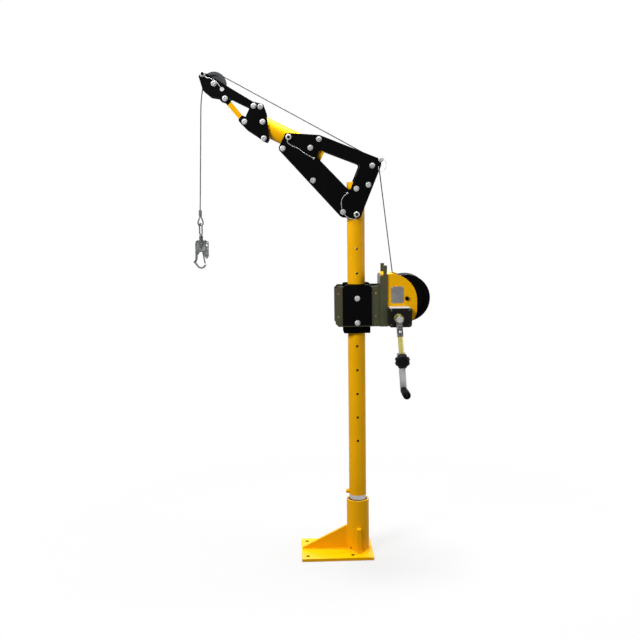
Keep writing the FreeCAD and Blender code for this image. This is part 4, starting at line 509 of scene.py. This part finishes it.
def forged_plating(name, dark, bright, gloss):
    """Bright plating over a forging: painted reflections as dark and light swirls, and fine pits."""
    made = Finish(name, gloss, metallic=0.5)
    # Painted reflections: dark and light swirls stand in for the surroundings mirrored in the polished forging.
    painted_reflections = made.spread(made.noise(62.0, 3.0, distortion=1.6), 0.40, 0.62, 0.0, 1.0)
    tone = made.mix(painted_reflections, dark, bright)
    tone = made.mix(made.spread(made.cells(240.0), 0.0, 1.0, 0.0, 0.35), tone, dark)
    rough = made.clouds(110.0, 4.0, gloss - 0.08, gloss + 0.10)
    hammered = made.bump(made.noise(95.0, 2.0), 0.0009)
    return made.end(tone, rough, made.bump(made.noise(700.0, 3.0), 0.00004, hammered))


def lathe_turned(name, colour, gloss, metallic, pitch, specular=0.5):
    """Turned surface: fine tool rings about the Y axis' direction, with blotches of gloss."""
    made = Finish(name, gloss, metallic=metallic, specular=specular)
    tone = made.mix(made.clouds(30.0, 4.0), shade(colour, 0.85), shade(colour, 1.1))
    rings = made.maths("SINE", made.maths("MULTIPLY", made.axis("Y"), 2 * math.pi / pitch))
    rough = made.clouds(55.0, 4.0, gloss - 0.06, gloss + 0.10)
    grain = made.bump(made.noise(900.0, 2.0), 0.00002)
    return made.end(tone, rough, made.bump(made.spread(rings, -1.0, 1.0, 0.0, 1.0), 0.00004, grain))


def moulded_plastic(name, colour, gloss, specular=0.05):
    """Moulded plastic: leathery spark-eroded grain and a slightly greyed tone where hands rub it."""
    made = Finish(name, gloss, specular=specular)
    handled = made.spread(made.noise(45.0, 4.0), 0.45, 0.75, 0.0, 0.5)
    tone = made.mix(handled, colour, shade(colour, 2.2))
    grain = made.bump(made.cells(1100.0), 0.00005)
    rough = made.clouds(120.0, 3.0, gloss - 0.08, gloss + 0.08)
    return made.end(tone, rough, made.bump(made.noise(500.0, 2.0), 0.00008, grain))


def rope_wire(name, colour, gloss, metallic, wires):
    """Stranded wire: fine wires slanting across each strand of the rope's own map, darker between them, and clouds of
    dark grease.
    """
    made = Finish(name, gloss, metallic=metallic)
    lay = made.add("ShaderNodeUVMap")
    lay.uv_map = "lay"
    parts = made.add("ShaderNodeSeparateXYZ", Vector=lay.outputs["UV"])
    slant = made.maths("ADD", made.maths("MULTIPLY", parts.outputs["X"], wires),
                       made.maths("MULTIPLY", parts.outputs["Y"], 5.0))
    wave = made.spread(made.maths("SINE", made.maths("MULTIPLY", slant, 2 * math.pi)), -1.0, 1.0, 0.0, 1.0)
    grease = made.spread(made.noise(60.0, 4.0), 0.4, 0.7, 0.0, 0.6)
    tone = made.mix(made.spread(wave, 0.0, 0.5, 0.75, 0.0), colour, shade(colour, 0.35))
    tone = made.mix(grease, tone, shade(colour, 0.55))
    rough = made.spread(grease, 0.0, 0.6, gloss, gloss + 0.2)
    return made.end(tone, rough, made.bump(wave, 0.00006))


def worn_drum(name, colour, bare):
    """Black coat on the drum, rubbed to bright steel by the rope on the flanges' inner faces."""
    made = Finish(name, 0.4, specular=0.01)
    flange, play = 3 * MM, 0.4 * MM
    inner_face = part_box("drum")[1][1] - flange
    rubbed = made.between(made.maths("ABSOLUTE", made.axis("Y")), inner_face - play, inner_face + play)
    streaks = made.spread(made.noise(35.0, 5.0), 0.25, 0.6, 0.55, 1.0)
    share = made.maths("MULTIPLY", rubbed, streaks)
    tone = made.mix(made.clouds(9.0, 3.0), shade(colour, 0.8), shade(colour, 1.4))
    made.set_shader({"Metallic": share})
    peel = made.bump(made.noise(420.0, 1.0), 0.00008)
    return made.end(made.mix(share, tone, bare), made.spread(share, 0.0, 1.0, 0.40, 0.34), peel)


def finish_makers(name):
    """For each finish, what makes it as a material of the given name."""
    tones = bpy.context.scene.crane_colours
    black, gold, hook, zinc = tones.black, tones.gold, tones.hook, tones.zinc

    def yellow_coat(holes=None):
        return powder_coat(name, tones.yellow, 0.38, 0.10, shade(tones.yellow, 0.82), holes=holes)

    def black_coat(gloss=0.42, specular=0.02, band=None):
        return powder_coat(name, black, gloss, specular, shade(black, 2.6), band)

    def gold_plate(band=None):
        return plated_steel(name, gold, (0.44, 0.40, 0.15), 0.32, 260.0, 0.5, band)

    def zinc_plate(band=None):
        return plated_steel(name, zinc, shade(zinc, 0.62), 0.30, 220.0, 0.55, band)

    def bolt_plate(bright, dull, gloss):
        return plated_steel(name, shade(zinc, bright), shade(zinc, dull), gloss, 160.0, 0.5)

    def forging(colour, dark, bright, gloss):
        return forged_plating(name, shade(colour, dark), shade(colour, bright), gloss)

    return {
        "yellow_paint": yellow_coat,
        # Yellow coat with painted shade inside the base plate's holes, the socket's drain hole and the mast's bore.
        "plate_with_shaded_holes": lambda: yellow_coat(anchor_hole_shade()),
        "socket_with_shaded_hole": lambda: yellow_coat(drain_hole_shade()),
        "mast_with_shaded_bore": lambda: yellow_coat(mast_bore_shade()),
        "black_paint": black_coat,
        "banded_strut": lambda: black_coat(band=strut_band(tones)),
        # Painted highlight: a light grey band along the gear cover's top edge.
        "cover_black_highlit_edge": lambda: black_coat(0.34, 0.12, cover_edge_highlight()),
        "flat_black": lambda: black_coat(0.60, 0.0),
        "rubbed_drum": lambda: worn_drum(name, black, (0.30, 0.30, 0.31)),
        "gold_zinc": gold_plate,
        "tube_and_block": lambda: gold_plate(block_band(tones)),
        "zinc_steel": zinc_plate,
        "bar_and_spindle": lambda: zinc_plate(spindle_tip(tones)),
        # Painted highlight: the through bolts take a lighter copy of the zinc, standing in for the light on their
        # heads.
        "bolt_zinc_painted_highlight": lambda: bolt_plate(1.15, 0.6, 0.26),
        "dull_zinc": lambda: bolt_plate(0.45, 0.3, 0.36),
        "olive_zinc": lambda: plated_steel(name, tones.olive, (0.070, 0.050, 0.030), 0.42, 140.0, 0.7),
        "winch_plate": lambda: plated_steel(name, tones.plate, shade(tones.plate, 0.8), 0.40, 60.0, 0.8),
        # Painted reflections on the forged hook and on the lock lever, whose copy is lighter.
        "hook_steel": lambda: forging(hook, 0.16, 1.15, 0.36),
        "lever_steel": lambda: forging(hook, 0.40, 1.7, 0.36),
        # Painted shade and reflections: darker copies of the zinc and the gold with painted swirls, for the crank's hub
        # and knuckle and the carrier screws.
        "zinc_with_painted_shade": lambda: forging(zinc, 0.10, 0.62, 0.30),
        "gold_with_painted_shade": lambda: forging(gold, 0.12, 0.70, 0.30),
        "bare_steel": lambda: lathe_turned(name, tones.steel, 0.34, 1.0, 0.9 * MM),
        "dark_screw": lambda: lathe_turned(name, shade(tones.steel, 0.12), 0.40, 0.6, 0.9 * MM),
        "bronze": lambda: lathe_turned(name, tones.bronze, 0.40, 1.0, 1.3 * MM),
        "grey_nylon": lambda: lathe_turned(name, tones.nylon, 0.46, 0.0, 1.1 * MM, 0.4),
        "black_plastic": lambda: moulded_plastic(name, tones.plastic, 0.48),
        "soft_grip": lambda: moulded_plastic(name, shade(tones.plastic, 0.3), 0.62, 0.02),
        "wire_rope": lambda: rope_wire(name, tones.rope, 0.42, 0.85, 36.0),
        "lanyard_wire": lambda: rope_wire(name, tones.lanyard, 0.36, 0.5, 30.0),
    }


MADE_FINISHES = {}


def finish_for(name):
    """The material of one of the record's slots or of a part's own finish, made on first use."""
    if name not in MADE_FINISHES:
        MADE_FINISHES[name] = finish_makers(name)[name]()
    return MADE_FINISHES[name]


def anchor_hole_shade():
    """Middle, half spacings and radius of the painted shade in the base plate's four holes, with a little over for
    their rims.
    """
    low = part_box("base_plate")[0]
    edge, hole = 25.4 * MM, 8.25 * MM
    halves = (95.25 * MM, 82.55 * MM)
    return (low[0] + edge + halves[0], 0.0), halves, hole


def drain_hole_shade():
    """Painted shade in the socket's drain hole, in the same form: one hole, so the half spacings are nothing."""
    turn, height, hole = math.radians(225), 24.7 * MM, 4.6 * MM
    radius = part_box("socket_tube")[1][0]
    return (radius * math.cos(turn), radius * math.sin(turn), height), (0.0, 0.0, 0.0), hole


def mast_bore_shade():
    """Painted shade in the mast's bore and hole walls, in the same form: one wide hole on the axis, up to the coat's
    skin.
    """
    skin = 0.8 * MM
    return (0.0, 0.0), (0.0, 0.0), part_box("mast_tube")[1][0] - skin


def cover_edge_highlight():
    """The gear cover's top edge as a band: a painted highlight in light grey where the edge catches the light."""
    # Painted highlight: bare is the highlight's light grey, and rubbed is its depth below the top.
    bare, rubbed = (0.30, 0.30, 0.29), 2.5 * MM
    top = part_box("gear_cover")[1][2]
    return bare, (0.0, 0.0, 1.0), top - rubbed, top + 1 * MM


def crank_axis():
    """A point on the pinion's axis and the crank arm's direction away from it, which leans a little."""
    low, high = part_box("crank_hub")
    middle = np.array([(low[0] + high[0]) / 2, 0.0, (low[2] + high[2]) / 2])
    return middle, np.array([math.sin(CRANK_LEAN), 0.0, -math.cos(CRANK_LEAN)])


def block_band(tones):
    """The crank's guide block as a band: everything past the tube's end is blackened."""
    tube_end, block = 144.2 * MM, 60 * MM
    middle, along = crank_axis()
    start = float(along @ middle) + tube_end
    return shade(tones.black, 2.0), tuple(along), start, start + block


def spindle_tip(tones):
    """The front end of the grip's spindle as a band: black like the grip that it holds."""
    tip = 14 * MM
    front = -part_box("crank_bar")[0][1]
    return shade(tones.black, 2.0), FRONT, front - tip, front + 1 * MM


def strut_band(tones):
    """The plain yellow stretch of a strut as a band, from one share of the strut's length to another."""
    first, last = 0.20, 0.78
    low, high = boom_point(486.3, -19.8) * MM, boom_point(594.1, 29.8) * MM
    length = float(np.linalg.norm(high - low))
    along = (high - low) / length
    start = float(along @ low)
    return shade(tones.yellow, 0.95), (along[0], 0.0, along[1]), start + first * length, start + last * length


# Parts that look different from the rest of their slot, several of them through painted shade, highlights or
# reflections.
OWN_FINISH = {
    "base_plate": "plate_with_shaded_holes", "socket_tube": "socket_with_shaded_hole", "mast_tube": "mast_with_shaded_bore",
    "head_struts": "banded_strut", "through_bolts": "bolt_zinc_painted_highlight", "boom_spacers": "dull_zinc",
    "bracket_sleeve": "flat_black", "drum": "rubbed_drum", "gear_cover": "cover_black_highlit_edge", "lock_lever": "lever_steel",
    "crank_hub": "gold_with_painted_shade", "crank_knuckle": "zinc_with_painted_shade", "crank_grip": "soft_grip",
    "crank_tube": "tube_and_block", "crank_bar": "bar_and_spindle",
}


class CRANE_OT_finishes(bpy.types.Operator):
    """Gives each carried-over CAD node its own finish or that of its slot"""

    bl_idname = "crane.finishes"
    bl_label = "Finish the metal parts"

    def execute(self, context):
        for name, node in NODES.items():
            node.data.materials.clear()
            node.data.materials.append(finish_for(OWN_FINISH.get(name, SLOT_OF[name])))
        return {"FINISHED"}


# Ropes


def on_circle(centre, radius, degrees):
    """Points of a circle in the XZ plane at the given angles."""
    angle = np.radians(degrees)
    return np.asarray(centre) + radius * np.column_stack([np.cos(angle), np.sin(angle)])


def round_pulley(centre, radius, first, last, count):
    """Control points whose smooth line follows a circle from one angle to another, and the reach of the last of them.

    They lie on the tangents' crossing points, at the radius over the cosine of half a step.
    """
    step = (last - first) / count
    degrees = first + step * (np.arange(count) + 0.5)
    half = abs(math.radians(step)) / 2
    return on_circle(centre, radius / math.cos(half), degrees), radius * math.tan(half)


def tangent_angles():
    """Angles at which the rope leaves the tip sheave, and then the rear sheave, on its way to the drum."""
    def touch(span, gap):
        return math.degrees(math.atan2(span[1], span[0]) + math.acos(gap / np.linalg.norm(span)))

    return touch(REAR_AXLE - TIP_AXLE, TIP_PITCH - REAR_PITCH), touch(DRUM_AXIS - REAR_AXLE, REAR_PITCH + DRUM_PITCH)


def boom_rope_route():
    """Route of the tight rope in the XZ plane, in mm: round the tip sheave, round the rear one and down to the drum."""
    top, side = tangent_angles()
    over_tip, tip_reach = round_pulley(TIP_AXLE, TIP_PITCH, ROPE_LEAVES_TIP, top, 4)
    over_rear, rear_reach = round_pulley(REAR_AXLE, REAR_PITCH, top, side, 2)
    leave_tip, meet_rear = on_circle(TIP_AXLE, TIP_PITCH, [top]), on_circle(REAR_AXLE, REAR_PITCH, [top])
    leave_rear, touch = on_circle(REAR_AXLE, REAR_PITCH, [side]), on_circle(DRUM_AXIS, -DRUM_PITCH, [side])
    across, down = unit(meet_rear - leave_tip), unit(touch - leave_rear)
    return np.vstack([on_circle(TIP_AXLE, TIP_PITCH, [ROPE_LEAVES_TIP]), over_tip, leave_tip + tip_reach * across,
                      meet_rear - rear_reach * across, over_rear, leave_rear + rear_reach * down, touch])


def winding_route(turns=6, per_turn=12, pitch=5.3, straight=4.8):
    """Route of the drum's outer layer, in metres: a helix with a short straight run at each end."""
    first = tangent_angles()[1] + 180.0
    count = per_turn * turns
    round_drum, _ = round_pulley(DRUM_AXIS, DRUM_PITCH, first, first + 360.0 * turns, count)
    ends = on_circle(DRUM_AXIS, DRUM_PITCH, [first, first + 360.0 * turns])
    heading = np.array([-math.sin(math.radians(first)), math.cos(math.radians(first))])
    places = np.vstack([ends[0] - straight * heading, round_drum, ends[1] + straight * heading])
    wound = np.concatenate([[0.0], (np.arange(count) + 0.5) / per_turn, [turns]])
    return metres(places, -pitch * (1 + wound))


def hanging_route():
    """Route of the hanging rope in the XZ plane, in mm: off the tip sheave, a slight bend, straight to the ferrule."""
    bend_reach = 70.0
    leave = on_circle(TIP_AXLE, TIP_PITCH, [ROPE_LEAVES_TIP])[0]
    set_back, lean = math.radians(10), math.radians(2.2)
    off = np.array([-math.sin(set_back), -math.cos(set_back)])
    bend = leave + bend_reach * off
    foot = np.array([bend[0] - (bend[1] - FERRULE_TOP) * math.tan(lean), FERRULE_TOP])
    straight = unit(foot - bend)
    return np.vstack([leave + 0.5 * off, bend, bend + bend_reach * straight, foot])


class CRANE_OT_ropes(bpy.types.Operator):
    """Lays the wire rope from the drum over both sheaves to the hook, strand by strand"""

    bl_idname = "crane.ropes"
    bl_label = "Lay the wire rope"

    def execute(self, context):
        sizes = context.scene.crane_sizes

        def rope(route):
            return stranded(smooth_line(route), sizes.rope_diameter, sizes.rope_strands, sizes.rope_lay)

        mesh, _ = rope(metres(boom_rope_route(), 0.0))
        tight = piece("rope_over_boom", mesh, "wire_rope", "mast", ROUND_EDGE)
        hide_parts("boom_rope")

        mesh, _ = rope(winding_route())
        wound = piece("rope_on_drum", mesh, "wire_rope", "drum", ROUND_EDGE)
        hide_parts("rope_winding")

        mesh, line = rope(metres(hanging_route(), 0.0))
        hanging = piece("rope_to_hook", mesh, "wire_rope", None, ROUND_EDGE)
        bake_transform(hanging)
        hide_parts("hanging_rope")
        return {"FINISHED"}


def lanyard_routes():
    """Each lanyard's pin, real length in metres and route: from its anchor out to the front, down, and to the pin."""
    edge, clear = 12.3, 22.3
    boom_face, tip_face = -44.7, -40.05
    keeper_reach, keeper_side = 56.25, 14.0

    def route(y, plate, anchor, places, head, side):
        flat = [anchor, anchor, *places, *on_circle(head, clear, [side]), *on_circle(head, edge, [side])]
        return metres(flat, [plate] + [y] * (len(flat) - 1))

    wx, wz = boom_point(166.0, -21.7)
    bx, bz = boom_point(302.0, 0.0)
    tx, tz = TIP_AXLE
    keeper = boom_point(*on_circle((TIP_ALONG, TIP_RISE), keeper_reach, [keeper_side])[0])
    to_boom_pin = [(wx - 50, wz + 14), (bx + 42, bz - 46), (bx + 16, bz - 36)]
    to_mast_pin = [(-58.5, 1520.0), (-64.3, 1492.1), (-55.3, 1458.1), (-37.3, 1438.1), (-15.3, 1432.1)]
    to_keeper = [(tx + 10, tz + 8), (tx - 14, tz + 20)]
    return [
        ("boom_pin", 0.1407, route(-51.7, boom_face, (wx - 12, wz - 6), to_boom_pin, (bx, bz), 250)),
        ("mast_pin", 0.1670, route(-56.7, boom_face, (-36.5, 1538.0), to_mast_pin, (0, 1451.7), 255)),
        ("tip_keeper_pin", 0.0957, route(-50.8, tip_face, boom_point(619.3, 56.9), to_keeper, keeper, 315)),
    ]


def keeper_loop_route():
    """The wire loop at the rear keeper bolt: out from the bolt's washer, down, round, and back to the plate's face."""
    off_face, face = -46.7, -44.7
    places = [(12.3, -2), (20.3, -9), (22.3, -24), (15, -44), (0, -52), (-10, -44), (-11, -30), (-11, -30)]
    flat = [REAR_KEEPER + place for place in places]
    return metres(flat, [off_face] * (len(flat) - 1) + [face])


class CRANE_OT_lanyards(bpy.types.Operator):
    """Hangs a thin wire lanyard between each pull-out pin and the crane, and the loop at the rear keeper bolt"""

    bl_idname = "crane.lanyards"
    bl_label = "Hang the pins' lanyards"

    def execute(self, context):
        sizes = context.scene.crane_sizes
        strands, per_strand, step = 6, 5, 0.9 * MM

        def wire_along(name, route, body=None):
            mesh, line = stranded(smooth_line(route), sizes.wire_diameter, strands, sizes.wire_lay, per_strand, step)
            return piece(name, mesh, "lanyard_wire", body, ROUND_EDGE), line

        for pin, length, route in lanyard_routes():
            wire, line = wire_along(f"{pin}_lanyard", route)
            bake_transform(wire)
        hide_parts("pin_lanyards")
        loop, _ = wire_along("keeper_wire", keeper_loop_route(), "mast")
        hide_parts("keeper_loop")
        return {"FINISHED"}


# Welds and trim


class CRANE_OT_welds(bpy.types.Operator):
    """Runs the weld beads that join the socket, gusset and ribs to the base plate"""

    bl_idname = "crane.welds"
    bl_label = "Weld the base"

    def execute(self, context):
        sizes = context.scene.crane_sizes
        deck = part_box("base_plate")[1][2]
        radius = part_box("socket_tube")[1][0]
        gusset_low, gusset_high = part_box("base_gusset")
        rib_low, rib_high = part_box("socket_ribs")
        rib_bevel = 4 * MM
        # The ring round the socket starts and ends at the gusset.
        turn = np.linspace(math.pi, 3 * math.pi, 73)
        runs = [np.column_stack([radius * np.cos(turn), radius * np.sin(turn), np.full_like(turn, deck)])]
        for y in (gusset_low[1], gusset_high[1]):
            meet = -math.sqrt(radius ** 2 - y ** 2)
            runs.append(np.linspace((gusset_low[0], y, deck), (meet, y, deck), 9))
            runs.append(np.linspace((meet, y, deck), (meet, y, gusset_high[2]), 9))
        for x in (rib_low[0], rib_high[0]):
            meet = math.sqrt(radius ** 2 - x ** 2)
            for far, near in ((rib_low[1], -meet), (rib_high[1], meet)):
                runs.append(np.linspace((x, far, deck), (x, near, deck), 5))
                runs.append(np.linspace((x, near, deck), (x, near, rib_high[2] - rib_bevel), 9))
        beads = [beaded(run, sizes.weld_radius, sizes.weld_ripple) for run in runs]
        piece("base_welds", join_meshes(beads), "yellow_paint", "base", ROUND_EDGE)
        return {"FINISHED"}


class CRANE_OT_winch_plate(bpy.types.Operator):
    """Rivets a bare plate to the winch's front side plate"""

    bl_idname = "crane.winch_plate"
    bl_label = "Rivet the winch's bare plate"

    def execute(self, context):
        sizes = context.scene.crane_sizes
        face, middle = -55.0 * MM, np.array([165.5, 1120.5]) * MM
        corner, rivet_inset = 6.5 * MM, 5.2 * MM
        half = np.array([sizes.plate_width, sizes.plate_height]) / 2
        # Each ring of the plate: how far inside the edge it lies, and how far it stands off the winch.
        steps = np.array([[0.0, 0.0], [0.0, 0.6], [0.4, 0.9], [2.4, 0.9], [2.8, 0.7], [6.0, 0.7]]) * MM
        rings = []
        for inset, rise in steps:
            x, z = (rounded_outline(*(half - inset), corner - inset) + middle).T
            rings.append(np.column_stack([x, np.full_like(x, face - rise), z]))
        piece("winch_bare_plate", grid_mesh(np.stack(rings)), "winch_plate", "mast", 25)
        dome = np.array([[0.4, 1.9], [1.1, 1.9], [1.6, 1.5], [1.9, 0.8]]) * MM
        rivets = []
        for side in ((-1, -1), (1, -1), (1, 1), (-1, 1)):
            x, z = middle + (half - rivet_inset) * side
            rivets.append(turned(dome, (x, face, z), 16))
        piece("winch_plate_rivets", join_meshes(rivets), "zinc_steel", "mast")
        return {"FINISHED"}


class CRANE_OT_pin_buttons(bpy.types.Operator):
    """Sets a black push button into the head of each pull-out pin"""

    bl_idname = "crane.pin_buttons"
    bl_label = "Set the pins' buttons"

    def execute(self, context):
        radius = context.scene.crane_sizes.button_radius
        # The button's profile: how far it stands off the head, and its share of the radius.
        profile = np.array([[-0.4, 1.0], [1.2, 1.0], [2.0, 0.86], [2.4, 0.6], [2.2, 0.3]]) * [MM, radius]
        for pin in ("boom_pin", "mast_pin", "tip_keeper_pin"):
            low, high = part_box(pin)
            centre = ((low[0] + high[0]) / 2, low[1], (low[2] + high[2]) / 2)
            piece(f"{pin}_button", turned(profile, centre), "black_plastic", pin)
        return {"FINISHED"}


class CRANE_OT_cover_screws(bpy.types.Operator):
    """Drives pan-head screws into the gear cover, the carrier plates and the lanyards' anchors"""

    bl_idname = "crane.cover_screws"
    bl_label = "Drive the small screws"

    def execute(self, context):
        low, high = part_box("gear_cover")
        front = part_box("carrier_plates")[0][1]
        inset = 10 * MM
        left, right, foot, top = low[0] + inset, high[0] - inset, low[2] + inset, high[2] - inset
        on_cover = [(x, low[1], z) for x in (left, right) for z in (foot, top)]
        on_carrier = [(x * MM, front, z * MM) for x in (-78, 78) for z in (1032, 1127)]
        on_anchors = [tuple(route[0]) for _, _, route in lanyard_routes()[:2]]
        pan = np.array([[-0.2, 3.8], [1.2, 3.8], [2.0, 3.2], [2.4, 2.2], [2.4, 1.5], [1.2, 1.4]]) * MM
        for name, slot, finish, places in (
                ("cover_screws", "bare_steel", "dark_screw", on_cover),
                # The carrier screws take the gold with painted shade and reflections.
                ("carrier_screws", "gold_zinc", "gold_with_painted_shade", on_carrier),
                ("lanyard_screws", "zinc_steel", "zinc_steel", on_anchors)):
            screws = [turned(pan, place, 24) for place in places]
            piece(name, join_meshes(screws), finish, "mast")
        return {"FINISHED"}


class CRANE_OT_knuckle_cap(bpy.types.Operator):
    """Sets the pivot's black ring and bright cap on the front of the crank's knuckle"""

    bl_idname = "crane.knuckle_cap"
    bl_label = "Cap the crank's knuckle"

    def execute(self, context):
        middle, along = crank_axis()
        pivot_reach = 53 * MM
        centre = middle + pivot_reach * along
        centre[1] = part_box("crank_knuckle")[0][1]
        ring = np.array([[-0.3, 11.0], [1.6, 11.0], [2.2, 10.2], [2.2, 8.0], [0.8, 7.6]]) * MM
        dome = np.array([[-0.3, 7.4], [2.4, 7.2], [4.2, 5.8], [5.2, 3.6], [5.5, 1.4]]) * MM
        for name, slot, profile in (("knuckle_ring", "black_plastic", ring), ("knuckle_cap", "zinc_steel", dome)):
            piece(name, turned(profile, centre), slot, "crank")
        return {"FINISHED"}


# Stage


class CRANE_OT_stage(bpy.types.Operator):
    """Builds the white stage, the soft light and the camera"""

    bl_idname = "crane.stage"
    bl_label = "Build the stage"

    def execute(self, context):
        scene, stage = context.scene, context.scene.crane_stage
        scene.view_settings.view_transform = "Standard"
        self.surround(scene, stage)
        self.floor(scene)
        self.lamps(scene)
        self.camera(scene, stage)
        return {"FINISHED"}

    def surround(self, scene, stage):
        """White all round to the eye, and a fainter light on the object."""
        world = bpy.data.worlds.new("white surround")
        world.use_nodes = True
        nodes = Nodes(world.node_tree)
        background = nodes.tree.nodes["Background"]
        background.inputs["Color"].default_value = (1, 1, 1, 1)
        level = nodes.spread(nodes.white_to_the_eye(), 0.0, 1.0, stage.sky_level, 1.0)
        nodes.feed(background.inputs["Strength"], level)
        scene.world = world

    def floor(self, scene):
        """White floor: part glow and part grey that takes the shadow near the base, and all glow further away."""
        reach = 12.0
        bounced_grey, seen_grey = 0.12, 0.42
        shadow_reach, glow_reach, least_glow = 0.3, 1.6, 0.62
        mesh = bpy.data.meshes.new("floor")
        corners = [(-reach, -reach, 0.0), (reach, -reach, 0.0), (reach, reach, 0.0), (-reach, reach, 0.0)]
        mesh.from_pydata(corners, [], [[0, 1, 2, 3]])
        material = bpy.data.materials.new("floor_white")
        material.use_nodes = True
        nodes = Nodes(material.node_tree)
        nodes.tree.nodes.remove(nodes.tree.nodes["Principled BSDF"])
        seen = nodes.white_to_the_eye()
        grey = nodes.add("ShaderNodeBsdfDiffuse", Color=nodes.spread(seen, 0.0, 1.0, bounced_grey, seen_grey))
        glow = nodes.add("ShaderNodeEmission")
        away = nodes.add("ShaderNodeVectorMath", Vector=nodes.add("ShaderNodeTexCoord").outputs["Object"])
        away.operation = "LENGTH"
        fade = nodes.spread(away.outputs["Value"], shadow_reach, glow_reach, least_glow, 1.0)
        mix = nodes.add("ShaderNodeMixShader")
        for socket, value in zip(mix.inputs, (nodes.maths("MULTIPLY", seen, fade), grey.outputs[0], glow.outputs[0])):
            nodes.feed(socket, value)
        nodes.feed(nodes.tree.nodes["Material Output"].inputs["Surface"], mix.outputs[0])
        mesh.materials.append(material)
        floor = bpy.data.objects.new("floor", mesh)
        scene.collection.objects.link(floor)

    def lamps(self, scene):
        """Soft square lamps, each given by its place, where it points, its size across and its power."""
        rig = {
            "key": ((-2.0, -1.9, 2.9), (-0.2, 0, 1.6), 1.2, 104.0),
            "fill": ((3.0, -0.1, 1.5), (0.0, 0, 0.8), 1.6, 36.0),
            "top": ((0.0, 0.2, 4.2), (-0.1, 0, 0.6), 1.4, 305.0),
            "back": ((0.6, 3.2, 2.4), (0.0, 0, 1.2), 2.0, 30.0),
        }
        for name, (place, aim, size, power) in rig.items():
            lamp = bpy.data.lights.new(name, "AREA")
            lamp.size = size
            lamp.energy = power
            holder = bpy.data.objects.new(name, lamp)
            holder.location = place
            holder.rotation_euler = (Vector(aim) - Vector(place)).to_track_quat("-Z", "Y").to_euler()
            scene.collection.objects.link(holder)

    def camera(self, scene, stage):
        """The photograph's camera, turned, dipped and rolled as its properties say."""
        turn = Matrix.Rotation(-stage.camera_turn, 4, "Z")
        dip = Matrix.Rotation(math.pi / 2 - stage.camera_dip, 4, "X")
        roll = Matrix.Rotation(stage.camera_roll, 4, "Z")
        eye = bpy.data.cameras.new("photo view")
        eye.sensor_fit = "HORIZONTAL"
        eye.sensor_width = SENSOR_WIDTH
        eye.lens = stage.lens
        holder = bpy.data.objects.new("photo view", eye)
        holder.matrix_world = Matrix.Translation(stage.camera_place) @ turn @ dip @ roll
        scene.collection.objects.link(holder)
        scene.camera = holder


GROUPS = {"crane_sizes": CraneSizes, "crane_colours": CraneColours, "crane_stage": CraneStage}
OPERATORS = (CRANE_OT_finishes, CRANE_OT_ropes, CRANE_OT_lanyards, CRANE_OT_welds, CRANE_OT_winch_plate,
             CRANE_OT_pin_buttons, CRANE_OT_cover_screws, CRANE_OT_knuckle_cap, CRANE_OT_stage)


class CRANE_PT_sidebar(bpy.types.Panel):
    """Lists the crane's sizes, colours and steps"""

    bl_idname = "CRANE_PT_sidebar"
    bl_label = "Davit crane"
    bl_space_type = "VIEW_3D"
    bl_region_type = "UI"
    bl_category = "Davit crane"

    def draw(self, context):
        for group in GROUPS:
            box = self.layout.box()
            for name in GROUPS[group].__annotations__:
                box.prop(getattr(context.scene, group), name)
        for operator in OPERATORS:
            self.layout.operator(operator.bl_idname)


CLASSES = (*GROUPS.values(), *OPERATORS, CRANE_PT_sidebar)


def register():
    """Registers the classes and hangs the property groups on the scene."""
    for made in CLASSES:
        bpy.utils.register_class(made)
    for name, group in GROUPS.items():
        setattr(bpy.types.Scene, name, bpy.props.PointerProperty(type=group))


def unregister():
    """Takes the property groups and the classes away again."""
    for name in GROUPS:
        delattr(bpy.types.Scene, name)
    for made in reversed(CLASSES):
        bpy.utils.unregister_class(made)


def main():
    """Registers the add-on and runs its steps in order."""
    register()
    bpy.ops.crane.finishes()
    bpy.ops.crane.ropes()
    bpy.ops.crane.lanyards()
    bpy.ops.crane.welds()
    bpy.ops.crane.winch_plate()
    bpy.ops.crane.pin_buttons()
    bpy.ops.crane.cover_screws()
    bpy.ops.crane.knuckle_cap()
    bpy.ops.crane.stage()


if __name__ == "__main__":
    main()
